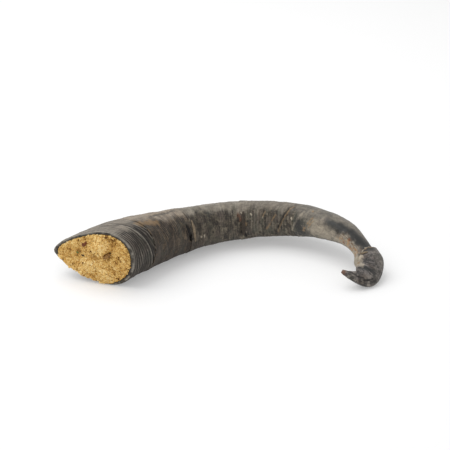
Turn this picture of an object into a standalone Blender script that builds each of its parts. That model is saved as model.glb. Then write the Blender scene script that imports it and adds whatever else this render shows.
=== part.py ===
"""A natural goat horn lying on its side, sawn open at the base and packed with a crumbly filling.

The horn is built the way it grows. Keratin is laid down as a stack of nested cones: each older cone,
nearer the tip, caps the end of the younger one that pushed it forward, so its lower edge shows outside
as a growth ridge. The last cone is the dark cap of the hooked tip, which sits on the solid core of the
neck. Behind the sawn mouth the cones share one tapering bore, which the filling plugs.

Every surface is a place in horn coordinates: s, the distance along the centreline from the mouth;
theta, the angle around the section, with 0 on the keel (outside of the curl), 90 on the upper flank and
180 on the belly (inside of the curl); and a factor that scales the section from 0 at the centreline to
1 at the outer surface. Lengths are in millimetres and angles in degrees until the mesh is made.
"""
from collections import namedtuple

import bmesh
import bpy
import numpy as np

METRES = 0.001

# Driving sizes
HORN_LENGTH = 293.0         # along the centreline, sawn mouth to tip
MOUTH_DEPTH = 63.0          # mouth, keel to belly
KEEL_SHARPNESS = 0.40       # how much narrower the keel side of the section is than the belly side
TIP_SHARPNESS = 0.15        # the same at the tip
BELLY_LIFT = 0.11           # rise of the belly above the middle of the mouth, as a share of half the width
LIFT_POWER = 3              # a higher power keeps that lift closer to the belly
START_HEIGHT = 20.5         # centreline above the floor at the mouth

# Keratin
MOUTH_WALL = 1.8            # flank wall at the sawn rim
BODY_WALL = 3.4             # flank wall further in
WALL_RAMP = 24.0            # distance over which the wall thickens
SKIN = 1.2                  # flank wall of a cone where it caps the younger one
OVERLAP = 12.0              # length of that cap
GAP = 0.3                   # clearance between pieces
BEDDING = 0.5               # clearance under a thin flake, which spans the facets below it
RIDGE = 0.5                 # how far a growth ridge stands proud
CAP_RIDGE = 1.5             # the same for the dark tip cap, on its keel side
RIDGE_FADE = 7.0            # distance over which a ridge dies away
BORE_LENGTH = 226.0         # mouth to the closed end of the bore
BORE_DOME = 20.0            # rounded stretch at that end
CORE_GRIP = 9.0             # how far the solid core runs up inside the tip cap
CORE_GAP = 0.6              # clearance round the core, whose facets turn with the hook
CORE_END_GAP = 1.8          # room beyond the end of the core
TIP_ROUNDING = 0.5          # the last ring stands this far from the very tip
NOTCH_LENGTH = 13.0         # the tip cap's edge is broken back along the belly by this much
NOTCH_POWER = 6             # a higher power makes the notch narrower

# Filling
FILL_DEPTH = 120.0          # mouth to the inner end of the packed filling
FACE_RECESS = 0.8           # general level of the filling behind the plane of the rim
CHIP_THINNING = 0.6         # how much thinner a bedded flake is at its edge
SCALE_THINNING = 0.5        # the same for a scale of keratin

# Facets
RING_POINTS = 28
PLATE_POINTS = 10
PLATE_RINGS = (0.5, 1.0)    # rings of a flake, as shares of its half sizes
FACE_RINGS = (0.2, 0.4, 0.6, 0.8, 0.97)     # rings of the filling's face, as shares of the bore
SHARP_ANGLE = 40.0          # edges sharper than this are not smoothed over
BODY_STEP = 6.0             # spacing of rings along the body
HOOK_STEP = 2.2             # spacing of rings round the hook
PROBE = 0.05                # half the stretch over which the surface's own length is measured
LEAST_STRETCH = 0.25        # and the least it may shrink to inside a bend

# Where the horn passes and what its section is there: share of the length, heading from +X, climb above
# the floor, depth as a share of the mouth's, width over depth, lean of the growth rings.
Station = namedtuple("Station", "at heading climb depth flatness lean")
STATIONS = (
    Station(0.000, 54.5, 0.0, 1.000, 0.645, 16.0),      # sawn mouth
    Station(0.154, 40.0, -3.5, 0.862, 0.685, 12.0),     # base collar
    Station(0.307, 27.5, -1.0, 0.697, 0.695, 0.0),      # lower body, on the floor
    Station(0.461, 5.0, 2.5, 0.601, 0.723, -6.0),       # crown of the curl
    Station(0.614, -25.5, 5.75, 0.502, 0.73, -9.0),     # upper body, lifting off the floor
    Station(0.734, -47.5, 0.5, 0.392, 0.725, -8.0),     # start of the neck
    Station(0.840, -59.5, -26.0, 0.260, 0.65, 0.0),     # thin of the neck
    Station(0.877, -77.5, -27.5, 0.359, 0.67, 0.0),     # shoulder of the tip cap
    Station(0.901, -103.0, -26.0, 0.317, 0.60, 0.0),    # hook, going down
    Station(0.925, -132.0, -12.0, 0.298, 0.58, 0.0),    # hook, lowest
    Station(0.949, -154.0, 20.0, 0.200, 0.62, 0.0),     # hook, coming up
    Station(1.000, -197.0, 28.5, 0.051, 0.60, 0.0),     # tip
)
NECK, THIN_OF_NECK = STATIONS[5], STATIONS[6]   # the keel rounds off between these, and the belly is level

# Lower edges of the growth cones after the first, as shares of the length
GROWTH_EDGES = (0.102, 0.270, 0.454, 0.635)
SEAM = 0.850                # lower edge of the tip cap

# Mounds and hollows of the filling's face: place across the mouth in shares of its half sizes
# (keel +, upper flank +), height and radius in millimetres.
Mound = namedtuple("Mound", "keel flank height radius")
MOUNDS = (
    Mound(-0.16, 0.38, 2.6, 8.0),
    Mound(0.10, -0.44, 2.6, 7.0),
    Mound(-0.32, -0.32, 2.0, 6.0),
    Mound(-0.66, 0.05, 1.2, 7.0),
    Mound(0.56, -0.10, -1.4, 8.0),
)

# Pieces of husk and bark bedded in the face of the filling: place as above, length, width, thickness,
# turn of the long side from the keel direction.
Chip = namedtuple("Chip", "name keel flank length width thickness turn colour")
CHIPS = (
    Chip("bark_flake", 0.22, 0.55, 4.8, 3.4, 1.2, 130.0, "#6e3f24"),
    Chip("bark_shred", -0.34, 0.08, 6.0, 2.6, 1.0, 150.0, "#5c3a22"),
    Chip("seed_husk", 0.28, -0.02, 3.0, 2.2, 1.0, 20.0, "#4b3a26"),
    Chip("leaf_fleck", 0.42, 0.08, 2.6, 1.8, 0.9, 70.0, "#6a7442"),
    Chip("bark_crumb", -0.42, -0.56, 3.0, 2.2, 1.0, 0.0, "#6e3f24"),
)

# Thin scales of keratin lifting at growth edges: index of the edge they hang on, distance above it,
# middle angle, length round the horn, width along it, thickness, lift of the free end.
Scale = namedtuple("Scale", "name edge above angle length width thickness lift colour")
SCALES = (
    Scale("lifted_scale", 1, 1.2, 165.0, 12.0, 3.2, 0.8, 1.0, "#8d7a66"),
    Scale("brown_scale", 2, 1.2, 172.0, 14.0, 4.0, 0.8, 0.6, "#5b4636"),
    Scale("seam_chip", 4, 1.4, 118.0, 4.5, 2.0, 0.8, 0.5, "#cfc4ad"),
)


def smooth_curve(at, values, where):
    """A cubic through the stations with weighted harmonic slopes, which never overshoots them."""
    at, values = np.asarray(at, float), np.asarray(values, float)
    span = np.diff(at)
    slope = np.diff(values) / span
    before, after = slope[:-1], slope[1:]
    same_way = before * after > 0
    weight_a = 2 * span[1:] + span[:-1]
    weight_b = span[1:] + 2 * span[:-1]
    safe_before = np.where(same_way, before, 1.0)
    safe_after = np.where(same_way, after, 1.0)
    middle = (weight_a + weight_b) / (weight_a / safe_before + weight_b / safe_after)
    tangent = np.concatenate([[slope[0]], np.where(same_way, middle, 0.0), [slope[-1]]])
    cell = np.clip(np.searchsorted(at, where, side="right") - 1, 0, len(span) - 1)
    t = (where - at[cell]) / span[cell]
    from_start = (1 + 2 * t) * (1 - t) ** 2 * values[cell] + t * (1 - t) ** 2 * span[cell] * tangent[cell]
    from_end = t * t * (3 - 2 * t) * values[cell + 1] + t * t * (t - 1) * span[cell] * tangent[cell + 1]
    return from_start + from_end


def station_values(field, s):
    """One field of the stations, at distances s along the centreline."""
    at = [station.at * HORN_LENGTH for station in STATIONS]
    return smooth_curve(at, [getattr(station, field) for station in STATIONS], s)


class Centreline:
    """The centreline and its frame: forward, across towards the keel, and up through the flank."""

    SAMPLES = 1600

    def __init__(self):
        self.s = np.linspace(0, HORN_LENGTH, self.SAMPLES)
        heading = np.radians(station_values("heading", self.s))
        climb = np.radians(station_values("climb", self.s))
        level = np.cos(climb)
        self.forward = np.stack([level * np.cos(heading), level * np.sin(heading), np.sin(climb)], 1)
        step = (self.forward[1:] + self.forward[:-1]) / 2 * (self.s[1] - self.s[0])
        start = np.array([[0.0, 0.0, START_HEIGHT]])
        self.place = np.concatenate([start, start + np.cumsum(step, 0)])
        self.up = self._carry_up()
        self.keel = np.cross(self.up, self.forward)

    def _carry_up(self):
        """The up direction, carried along without twist from straight up at the mouth."""
        carried = [np.array([0.0, 0.0, 1.0])]
        for forward in self.forward:
            level = carried[-1] - forward * (carried[-1] @ forward)
            carried.append(level / np.linalg.norm(level))
        return np.array(carried[1:])

    def read(self, table, s):
        """A table of vectors along the centreline, at distances s."""
        return np.stack([np.interp(s, self.s, table[:, axis]) for axis in range(3)], -1)


LINE = Centreline()
THETA = np.arange(RING_POINTS) * 2 * np.pi / RING_POINTS


def half_depth(s):
    return station_values("depth", s) * MOUTH_DEPTH / 2


def half_width(s):
    return half_depth(s) * station_values("flatness", s)


def horn_point(s, theta, factor):
    """The point at s, theta and factor. The ring through it leans by the station's angle."""
    s = np.clip(s, 0, HORN_LENGTH)
    sharp = np.interp(s / HORN_LENGTH, (NECK.at, THIN_OF_NECK.at), (KEEL_SHARPNESS, TIP_SHARPNESS))
    to_keel = half_depth(s) * factor * np.cos(theta)
    belly = ((1 - np.cos(theta)) / 2) ** LIFT_POWER
    lift = BELLY_LIFT * np.clip(1 - s / (NECK.at * HORN_LENGTH), 0, 1) * belly
    to_flank = half_width(s) * factor * (np.sin(theta) * (1 - sharp * np.cos(theta)) + lift)
    back = to_keel * np.tan(np.radians(station_values("lean", s)))
    place = LINE.read(LINE.place, s)
    place = place + LINE.read(LINE.keel, s) * to_keel[..., None]
    place = place + LINE.read(LINE.up, s) * to_flank[..., None]
    return place - LINE.read(LINE.forward, s) * back[..., None]


def inset(s, depth):
    """The factor of a surface that lies this deep under the flank."""
    return 1 - depth / half_width(s)


def moved_along(s, theta, factor, distance):
    """s moved by a true distance along the surface, which is shorter inside a bend than outside it."""
    ahead = horn_point(s + PROBE, theta, factor)
    behind = horn_point(s - PROBE, theta, factor)
    stretch = np.linalg.norm(ahead - behind, axis=-1) / (2 * PROBE)
    return s + distance / np.maximum(stretch, LEAST_STRETCH)


def notch():
    """How far the tip cap's edge is broken back, by angle: most on the belly, nothing on the keel."""
    return NOTCH_LENGTH * np.sin(THETA / 2) ** (2 * NOTCH_POWER)


def edge(index):
    """The lower edge of a growth cone, by angle. Edge 0 is the sawn mouth, the last one the seam."""
    shares = (0.0,) + GROWTH_EDGES + (SEAM,)
    ring = level_ring(shares[index] * HORN_LENGTH)
    return ring + notch() if index == len(shares) - 1 else ring


def ridge_height(index, theta):
    """How far an edge stands proud: the growth edges all round, the tip cap's on its keel side."""
    if index == 0:
        return 0.0 * theta
    if index <= len(GROWTH_EDGES):
        return RIDGE + 0.0 * theta
    return CAP_RIDGE * (1 + np.cos(theta)) / 2


def ridge_factor(s, index):
    """The outer surface above an edge: proud at the edge, dying away towards the tip."""
    return inset(s, -ridge_height(index, THETA) * np.exp(-(s - edge(index)) / RIDGE_FADE))


def wall(s):
    """The flank wall: thin at the rim, full thickness further in."""
    ramp = np.clip(s / WALL_RAMP, 0, 1)
    return MOUTH_WALL + (BODY_WALL - MOUTH_WALL) * ramp


def bore_factor(s, clearance=0.0):
    """The bore, with a rounded closed end."""
    into_dome = np.clip((s - BORE_LENGTH + BORE_DOME) / BORE_DOME, 0, 1)
    return inset(s, wall(s) + clearance) * np.sqrt(1 - into_dome ** 2)


def level_ring(s):
    """A ring that stays at one distance from the mouth all round."""
    return np.full(RING_POINTS, s)


def rings_between(low, high, step):
    """Ring places from low to high, both included, about a step apart."""
    count = max(1, int(round(float(np.max(high - low)) / step)))
    return [low + (high - low) * i / count for i in range(count + 1)]


def outer_rings(index, low, high, step):
    return [(s, ridge_factor(s, index)) for s in rings_between(low, high, step)]


def bore_rings(low, high, step):
    return [(s, bore_factor(s)) for s in rings_between(low, high, step)]


def lap_places(index):
    """Ring places along the lap at an edge, the same for the spigot and for the socket around it."""
    if index > len(GROWTH_EDGES):
        return rings_between(edge(index), edge(index) + CORE_GRIP, HOOK_STEP)
    return rings_between(edge(index), edge(index) + OVERLAP, BODY_STEP)


def lap_gap(index):
    """The clearance in the lap at an edge."""
    return CORE_GAP if index > len(GROWTH_EDGES) else GAP


def spigot_rings(index):
    """The end of a younger cone, which runs up inside the cone above this edge."""
    places = [shoulder(index)] + lap_places(index)[1:]
    return [(s, inset(s, SKIN + lap_gap(index))) for s in places]


def socket_rings(index):
    """The hollow at a cone's lower edge that takes the younger cone, from its end back to the lip."""
    places = lap_places(index)
    room = CORE_END_GAP if index > len(GROWTH_EDGES) else GAP
    deep = moved_along(places[-1], THETA, inset(places[-1], SKIN), room)
    return [(s, inset(s, SKIN)) for s in [deep] + places[-2::-1]]


def shoulder(index):
    """Where the outer surface of the younger cone stops, just short of the edge that covers it."""
    return moved_along(edge(index), THETA, 1.0, -lap_gap(index))


def skin(name, rings, colour, roughness, ends=None):
    """A closed body through rings of s and factor, with poles at its ends or round like a tube."""
    return body(name, [horn_point(s, THETA, factor) for s, factor in rings], colour, roughness, ends)


def body(name, rings, colour, roughness, ends=None):
    """A closed body through rings of points. ends gives the two poles that close it; without them the
    last ring meets the first."""
    vertices = list(np.concatenate(rings))
    count = len(rings)
    faces = []
    for row in range(count if ends is None else count - 1):
        here, there = row * RING_POINTS, (row + 1) % count * RING_POINTS
        for i in range(RING_POINTS):
            j = (i + 1) % RING_POINTS
            faces.append((here + i, here + j, there + j, there + i))
    for row, pole in zip((0, count - 1), ends or ()):
        first = row * RING_POINTS
        centre = len(vertices)
        vertices.append(pole)
        faces += [(first + i, first + (i + 1) % RING_POINTS, centre) for i in range(RING_POINTS)]
    return make_piece(name, vertices, faces, colour, roughness)


def make_piece(name, vertices, faces, colour, roughness):
    """A mesh object in the horn's frame, facing outwards, with its own material."""
    mesh = bpy.data.meshes.new(name)
    mesh.from_pydata([tuple(float(value) * METRES for value in vertex) for vertex in vertices], [], faces)
    shape = bmesh.new()
    shape.from_mesh(mesh)
    bmesh.ops.recalc_face_normals(shape, faces=shape.faces)
    shape.to_mesh(mesh)
    shape.free()
    mesh.shade_smooth()
    mesh.set_sharp_from_angle(angle=np.radians(SHARP_ANGLE))
    mesh.materials.append(make_material(name, colour, roughness))
    piece = bpy.data.objects.new(name, mesh)
    bpy.context.scene.collection.objects.link(piece)
    return piece


def linear(hex_colour):
    """An sRGB hex colour as linear red, green, blue and alpha."""
    channels = [int(hex_colour[i:i + 2], 16) / 255 for i in (1, 3, 5)]
    return [c / 12.92 if c <= 0.04045 else ((c + 0.055) / 1.055) ** 2.4 for c in channels] + [1.0]


def make_material(name, colour, roughness):
    material = bpy.data.materials.new(name)
    material.use_nodes = True
    surface = material.node_tree.nodes["Principled BSDF"]
    surface.inputs["Base Color"].default_value = linear(colour)
    surface.inputs["Roughness"].default_value = roughness
    surface.inputs["Metallic"].default_value = 0.0
    return material


def make_mouth_cone():
    """The youngest cone: sawn rim, finely ringed collar, and the spigot under the next cone."""
    outer = outer_rings(0, edge(0), shoulder(1), BODY_STEP)
    bore = bore_rings(edge(0), edge(1) + OVERLAP, BODY_STEP)
    return skin("mouth_cone", outer + spigot_rings(1) + bore[::-1], "#4b4740", 0.6)


def make_growth_cone(name, index, colour):
    """A cone between two others: socket below, spigot above, bore right through."""
    outer = outer_rings(index, edge(index), shoulder(index + 1), BODY_STEP)
    low = moved_along(edge(index) + OVERLAP, THETA, 1.0, GAP)
    bore = bore_rings(low, edge(index + 1) + OVERLAP, BODY_STEP)
    return skin(name, outer + spigot_rings(index + 1) + bore[::-1] + socket_rings(index), colour, 0.6)


def make_neck_cone():
    """The last hollow cone: the bore closes inside it, and its solid core runs up into the tip cap."""
    last = len(GROWTH_EDGES)
    low = moved_along(edge(last) + OVERLAP, THETA, 1.0, GAP)
    bore = bore_rings(low, level_ring(BORE_LENGTH), BODY_STEP)[:-1]
    outer = outer_rings(last, edge(last), shoulder(last + 1), BODY_STEP)
    core = spigot_rings(last + 1)
    poles = (centre_point(BORE_LENGTH), centre_point(float(np.mean(core[-1][0]))))
    return skin("neck_cone", bore[::-1] + socket_rings(last) + outer + core, "#54504a", 0.55, poles)


def make_tip_cap():
    """The oldest keratin: a dark cap over the core, hooked back on itself and solid to the tip."""
    seam = len(GROWTH_EDGES) + 1
    socket = socket_rings(seam)
    outer = outer_rings(seam, edge(seam), level_ring(HORN_LENGTH - TIP_ROUNDING), HOOK_STEP)
    inner_end = centre_point(float(np.mean(socket[0][0])))
    return skin("tip_cap", socket + outer, "#4a4749", 0.5, (inner_end, centre_point(HORN_LENGTH)))


def centre_point(s):
    return horn_point(np.array([s]), np.zeros(1), np.zeros(1))[0]


def face_height(to_keel, to_flank):
    """Height of the filling's face above the plane of the rim, at shares of the mouth's half sizes."""
    height = np.full(np.shape(to_keel), -FACE_RECESS)
    for mound in MOUNDS:
        away_keel = (to_keel - mound.keel) * MOUTH_DEPTH / 2
        away_flank = (to_flank - mound.flank) * MOUTH_DEPTH / 2 * STATIONS[0].flatness
        height = height + mound.height * np.exp(-(away_keel ** 2 + away_flank ** 2) / mound.radius ** 2)
    return height


def face_point(to_keel, to_flank, lift=0.0):
    """A point of the filling's face, lifted off it by the given distance."""
    theta = np.arctan2(to_flank, to_keel)
    factor = np.hypot(to_keel, to_flank)
    on_rim_plane = horn_point(np.zeros_like(factor), theta, factor)
    outwards = -LINE.forward[0]
    keel = LINE.keel[0]
    lean = np.radians(STATIONS[0].lean)
    outwards = outwards * np.cos(lean) - keel * np.sin(lean)
    return on_rim_plane + outwards * (face_height(to_keel, to_flank) + lift)[..., None]


def make_filling():
    """The packed filling: a plug that fits the bore, with a lumpy face just inside the rim."""
    places = rings_between(level_ring(2 * FACE_RECESS), level_ring(FILL_DEPTH), BODY_STEP)
    side = [horn_point(s, THETA, bore_factor(s, GAP)) for s in places]
    rim = bore_factor(places[0], GAP)
    face = []
    for share in FACE_RINGS:
        face.append(face_point(rim * share * np.cos(THETA), rim * share * np.sin(THETA)))
    middle = np.zeros(1)
    ends = (face_point(middle, middle)[0], centre_point(FILL_DEPTH))
    return body("filling_plug", face + side, "#c79f60", 0.9, ends)


def plate(name, patch, thickness, thinning, colour, roughness):
    """A thin round plate on a surface, thinner towards its edge by the given share. patch(x, y, lift)
    gives the point at shares x and y of its half length and half width, lifted off the surface."""
    angle = np.arange(PLATE_POINTS) * 2 * np.pi / PLATE_POINTS
    vertices = []
    for side in (0, 1):
        for share in PLATE_RINGS + (0.0,):
            around = angle if share else angle[:1]
            x, y = share * np.cos(around), share * np.sin(around)
            vertices.extend(patch(x, y, BEDDING + side * thickness * (1 - thinning * share ** 2)))
    half = 2 * PLATE_POINTS + 1
    faces = []
    for i in range(PLATE_POINTS):
        j = (i + 1) % PLATE_POINTS
        inner, outer = (i, j), (PLATE_POINTS + i, PLATE_POINTS + j)
        for base in (0, half):
            faces.append((base + inner[0], base + inner[1], base + half - 1))
            faces.append((base + outer[0], base + outer[1], base + inner[1], base + inner[0]))
        faces.append((outer[0], outer[1], half + outer[1], half + outer[0]))
    return make_piece(name, vertices, faces, colour, roughness)


def make_chip(chip):
    """A flake lying on the face of the filling, following its lumps."""
    turn = np.radians(chip.turn)
    half_mouth = np.array([MOUTH_DEPTH / 2, MOUTH_DEPTH / 2 * STATIONS[0].flatness])

    def patch(x, y, lift):
        along, across = x * chip.length / 2, y * chip.width / 2
        to_keel = chip.keel + (along * np.cos(turn) - across * np.sin(turn)) / half_mouth[0]
        to_flank = chip.flank + (along * np.sin(turn) + across * np.cos(turn)) / half_mouth[1]
        return face_point(to_keel, to_flank, lift)

    return plate(chip.name, patch, chip.thickness, CHIP_THINNING, chip.colour, 0.8)


def make_scale(scale):
    """A thin scale lying on the outer surface above a growth edge, with one end lifting off."""
    index = scale.edge + 1
    base = edge(index)[int(round(scale.angle / 360 * RING_POINTS)) % RING_POINTS]
    middle = base + scale.above + scale.width / 2
    around = scale.length / 2 / half_width(np.array([middle]))[0]

    def patch(x, y, lift):
        theta = np.radians(scale.angle) + x * around
        s = middle + y * scale.width / 2
        ridge = ridge_height(index, theta) * np.exp(-(s - base) / RIDGE_FADE)
        rise = scale.lift * np.clip(x, 0, 1) ** 2
        return horn_point(s, theta, inset(s, -(ridge + lift + rise)))

    return plate(scale.name, patch, scale.thickness, SCALE_THINNING, scale.colour, 0.7)


def stand_on_floor(pieces):
    """Hangs the pieces on one empty and moves it so that the middle of the underside is the origin."""
    corners = np.concatenate([np.array([v.co for v in piece.data.vertices]) for piece in pieces])
    low, high = corners.min(0), corners.max(0)
    frame = bpy.data.objects.new("horn_frame", None)
    bpy.context.scene.collection.objects.link(frame)
    frame.location = (-(low[0] + high[0]) / 2, -(low[1] + high[1]) / 2, -low[2])
    for piece in pieces:
        piece.parent = frame


def main():
    for item in list(bpy.data.objects):
        bpy.data.objects.remove(item, do_unlink=True)
    pieces = [
        make_mouth_cone(),
        make_growth_cone("brown_cone", 1, "#5a4b3e"),
        make_growth_cone("lower_body_cone", 2, "#57534d"),
        make_growth_cone("upper_body_cone", 3, "#5b5750"),
        make_neck_cone(),
        make_tip_cap(),
        make_filling(),
    ]
    pieces += [make_chip(chip) for chip in CHIPS]
    pieces += [make_scale(scale) for scale in SCALES]
    stand_on_floor(pieces)


main()
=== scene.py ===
"""Looks of a natural goat horn, lying on its side, sawn open at the base and packed with a crumbly filling.

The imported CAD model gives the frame. Each CAD node is replaced by a finer surface of the same shape, worked
out in horn coordinates: s, the distance along the centreline from the mouth; theta, the angle round the
section, with 0 on the keel (outside of the curl), 90 degrees on the upper flank and 180 on the belly (inside
of the curl); and a factor that scales the section from 0 at the centreline to 1 at the outer surface.
Lengths are in millimetres until a mesh is made. Angles are written in degrees and worked with in radians.
"""
import logging
from dataclasses import dataclass, field
from enum import Enum

import bpy
import numpy as np
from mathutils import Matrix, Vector


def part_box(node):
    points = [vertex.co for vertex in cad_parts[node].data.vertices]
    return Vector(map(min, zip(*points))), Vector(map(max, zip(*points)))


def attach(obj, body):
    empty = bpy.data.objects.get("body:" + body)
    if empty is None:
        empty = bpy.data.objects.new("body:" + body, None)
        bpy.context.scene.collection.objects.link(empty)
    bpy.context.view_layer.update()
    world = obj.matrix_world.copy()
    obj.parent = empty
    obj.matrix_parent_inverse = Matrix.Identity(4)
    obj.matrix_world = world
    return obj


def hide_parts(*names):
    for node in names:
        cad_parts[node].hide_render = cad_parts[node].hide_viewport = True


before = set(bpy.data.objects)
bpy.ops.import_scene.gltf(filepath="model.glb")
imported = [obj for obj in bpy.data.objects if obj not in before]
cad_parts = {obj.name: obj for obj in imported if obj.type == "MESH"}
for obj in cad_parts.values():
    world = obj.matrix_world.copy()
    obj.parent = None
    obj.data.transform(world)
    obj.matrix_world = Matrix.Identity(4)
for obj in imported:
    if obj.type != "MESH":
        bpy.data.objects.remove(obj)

LOG = logging.getLogger("goat_horn")
# One millimetre, in metres.
METRES = 0.001
# The one body of the record, on which every piece rides.
BODY = "root"
# No point of the horn comes closer to the floor than this, in mm.
REST_HEIGHT = 0.02


# ---------------------------------------------------------------- noise

# Large odd factors and shifts that scramble whole numbers.
AXIS_FACTORS = (73856093, 19349663, 83492791)
SEED_FACTOR = 2654435761
SCRAMBLES = ((15, 2246822519), (13, 3266489917))
LAST_SHIFT = 16
LAYER_SEED_STEP = 17


def lattice_value(cell: np.ndarray, seed: int) -> np.ndarray:
    """A fixed pseudo-random value from -1 to 1 for each whole-number cell.

    Args:
        cell: whole numbers, shape (..., 3).
        seed: picks one of many unrelated patterns.

    Returns:
        Values, shape (...). The three numbers are multiplied by large factors, mixed with the seed by
        exclusive or, and scrambled by two rounds of shift and multiply and a last shift.
    """
    bits = cell.astype(np.int64).astype(np.uint32) * np.array(AXIS_FACTORS, np.uint32)
    mixed = bits[..., 0] ^ bits[..., 1] ^ bits[..., 2] ^ np.uint32((seed * SEED_FACTOR) % 2**32)
    for shift, factor in SCRAMBLES:
        mixed = (mixed ^ (mixed >> np.uint32(shift))) * np.uint32(factor)
    mixed = mixed ^ (mixed >> np.uint32(LAST_SHIFT))
    return mixed.astype(np.float64) / 2**31 - 1


def noise(place: np.ndarray, seed: int) -> np.ndarray:
    """Smooth noise from about -1 to 1: lattice values blended by a quintic step on each axis.

    Args:
        place: points, shape (..., 3), in units of one lattice cell.
        seed: picks the pattern.

    Returns:
        Noise, shape (...).
    """
    cell = np.floor(place)
    inside = place - cell
    step = inside ** 3 * (inside * (inside * 6 - 15) + 10)
    total = np.zeros(place.shape[:-1])
    for corner in np.ndindex(2, 2, 2):
        weight = np.prod(np.where(np.array(corner) == 1, step, 1 - step), axis=-1)
        total += weight * lattice_value(cell + np.array(corner), seed)
    return total


def layered_noise(place: np.ndarray, seed: int, layers: int = 3) -> np.ndarray:
    """Sum of noises, each twice as fine and half as strong as the one before.

    Args:
        place: points, shape (..., 3), in units of one cell of the coarsest noise.
        seed: picks the pattern.
        layers: number of noises.

    Returns:
        The sum, divided by the sum of the strengths, shape (...).
    """
    total = np.zeros(place.shape[:-1])
    for layer in range(layers):
        total += noise(place * 2 ** layer, seed + LAYER_SEED_STEP * layer) / 2 ** layer
    return total / (2 - 2 ** (1 - layers))


def ramp(value: np.ndarray, low: float, high: float) -> np.ndarray:
    """A smooth step: 0 below low, 1 above high, and the cubic 3t^2 - 2t^3 between."""
    t = np.clip((value - low) / (high - low), 0, 1)
    return t * t * (3 - 2 * t)


def between(theta: np.ndarray, rise: tuple, fall: tuple) -> np.ndarray:
    """A band of angles: a smooth step up over one pair of degrees, times one down over the other."""
    up, down = np.radians(rise), np.radians(fall)
    return ramp(theta, up[0], up[1]) * (1 - ramp(theta, down[0], down[1]))


@dataclass(frozen=True)
class Pattern:
    """A layered noise over points in millimetres; on the uncurled horn the first axis runs along it.

    Args:
        seed: picks the pattern.
        along, across: lattice cells to the millimetre, on the first axis and on the other two.
        layers: number of noises, each twice as fine as the one before.
    """

    seed: int
    along: float
    across: float
    layers: int = 2

    def at(self, points: np.ndarray) -> np.ndarray:
        """Its value at points (..., 3), from about -1 to 1."""
        cells = points * np.array([self.along, self.across, self.across])
        return layered_noise(cells, self.seed, self.layers)


# Growth rings: how they bend, their small wobbles, where they stand fresh, and each one's own strength.
RING_BEND = Pattern(3, 0.05, 0.07)
RING_WOBBLE = Pattern(9, 0.3, 0.3, 1)
RING_FRESH = Pattern(31, 0.3, 0.12, 1)
RING_STRENGTH_SEED = 21
# Relief of the keratin: flaking scabs, fine grain, fibres along the horn, and broad lumps.
SCABS = Pattern(41, 0.5, 0.2, 3)
FINE_GRAIN = Pattern(51, 0.8, 0.8, 3)
FIBRES = Pattern(55, 0.12, 1.0)
LUMPS = Pattern(57, 0.16, 0.1)
# Dust with painted light from above on the upper flank: its lower edge, its patches and its streaks round the
# horn.
DUST_AND_TOP_LIGHT_EDGE = Pattern(67, 0.22, 0.12, 3)
DUST_AND_TOP_LIGHT_PATCHES = Pattern(61, 0.16, 0.13, 3)
DUST_AND_TOP_LIGHT_STREAKS = Pattern(65, 0.3, 0.09)
# Patches of the painted shade under each next cone's edge.
JOINT_SHADE = Pattern(63, 0.1, 0.2)
# Sawn rim and collar.
RIM_GRAIN = Pattern(71, 0.7, 0.7)
RIM_SHADE = Pattern(73, 0.5, 0.5, 3)
# Patches of the painted highlight on the sawn rim.
RIM_HIGHLIGHT = Pattern(75, 0.25, 0.25)
COLLAR_WANDER = Pattern(77, 0.12, 0.12)
# Broken seam, cap and hook.
SEAM_FRAY = Pattern(81, 0.5, 0.9, 3)
BREAK_CELLS = Pattern(87, 0.55, 0.8, 1)
BREAK_RUST = Pattern(89, 0.8, 0.8, 1)
CAP_FRAY = Pattern(83, 0.3, 0.9, 3)
BLADE_SPECKS = Pattern(85, 0.55, 0.55)
# Filling: clods, the cracks between them, the crumb on top, and the plug's shade.
CLODS = Pattern(91, 0.20, 0.20)
CLOD_CRACKS = Pattern(95, 0.17, 0.17, 1)
CRUMB_GRAIN = Pattern(93, 1.0, 1.0)
PLUG_SHADE = Pattern(97, 0.5, 0.5, 3)


# ---------------------------------------------------------------- shape

@dataclass(frozen=True)
class Station:
    """Where the horn passes and what its section is there.

    Args:
        at: share of the length.
        heading, climb: direction of the centreline, from +X and above the floor, in degrees.
        depth: keel-to-belly depth as a share of the mouth's.
        flatness: width over depth.
        lean: lean of the growth rings, in degrees.
    """

    at: float
    heading: float
    climb: float
    depth: float
    flatness: float
    lean: float


STATIONS = (
    Station(0.000, 54.5, 0.0, 1.000, 0.645, 16.0),
    Station(0.154, 40.0, -3.5, 0.862, 0.685, 12.0),
    Station(0.307, 27.5, -1.0, 0.697, 0.695, 0.0),
    Station(0.461, 5.0, 2.5, 0.601, 0.723, -6.0),
    Station(0.614, -25.5, 5.75, 0.502, 0.73, -9.0),
    Station(0.734, -47.5, 0.5, 0.392, 0.725, -8.0),
    Station(0.840, -59.5, -26.0, 0.260, 0.65, 0.0),
    Station(0.877, -77.5, -27.5, 0.359, 0.67, 0.0),
    Station(0.901, -103.0, -26.0, 0.317, 0.60, 0.0),
    Station(0.925, -132.0, -12.0, 0.298, 0.58, 0.0),
    Station(0.949, -154.0, 20.0, 0.200, 0.62, 0.0),
    Station(1.000, -197.0, 28.5, 0.051, 0.60, 0.0),
)


# The keel rounds off between these two stations.
ROUNDING = (5, 6)
# Points of the centreline's table, and the grid that finds the horn's box.
LINE_POINTS = 1600
BOX_ROWS, BOX_COLUMNS = 500, 240


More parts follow.
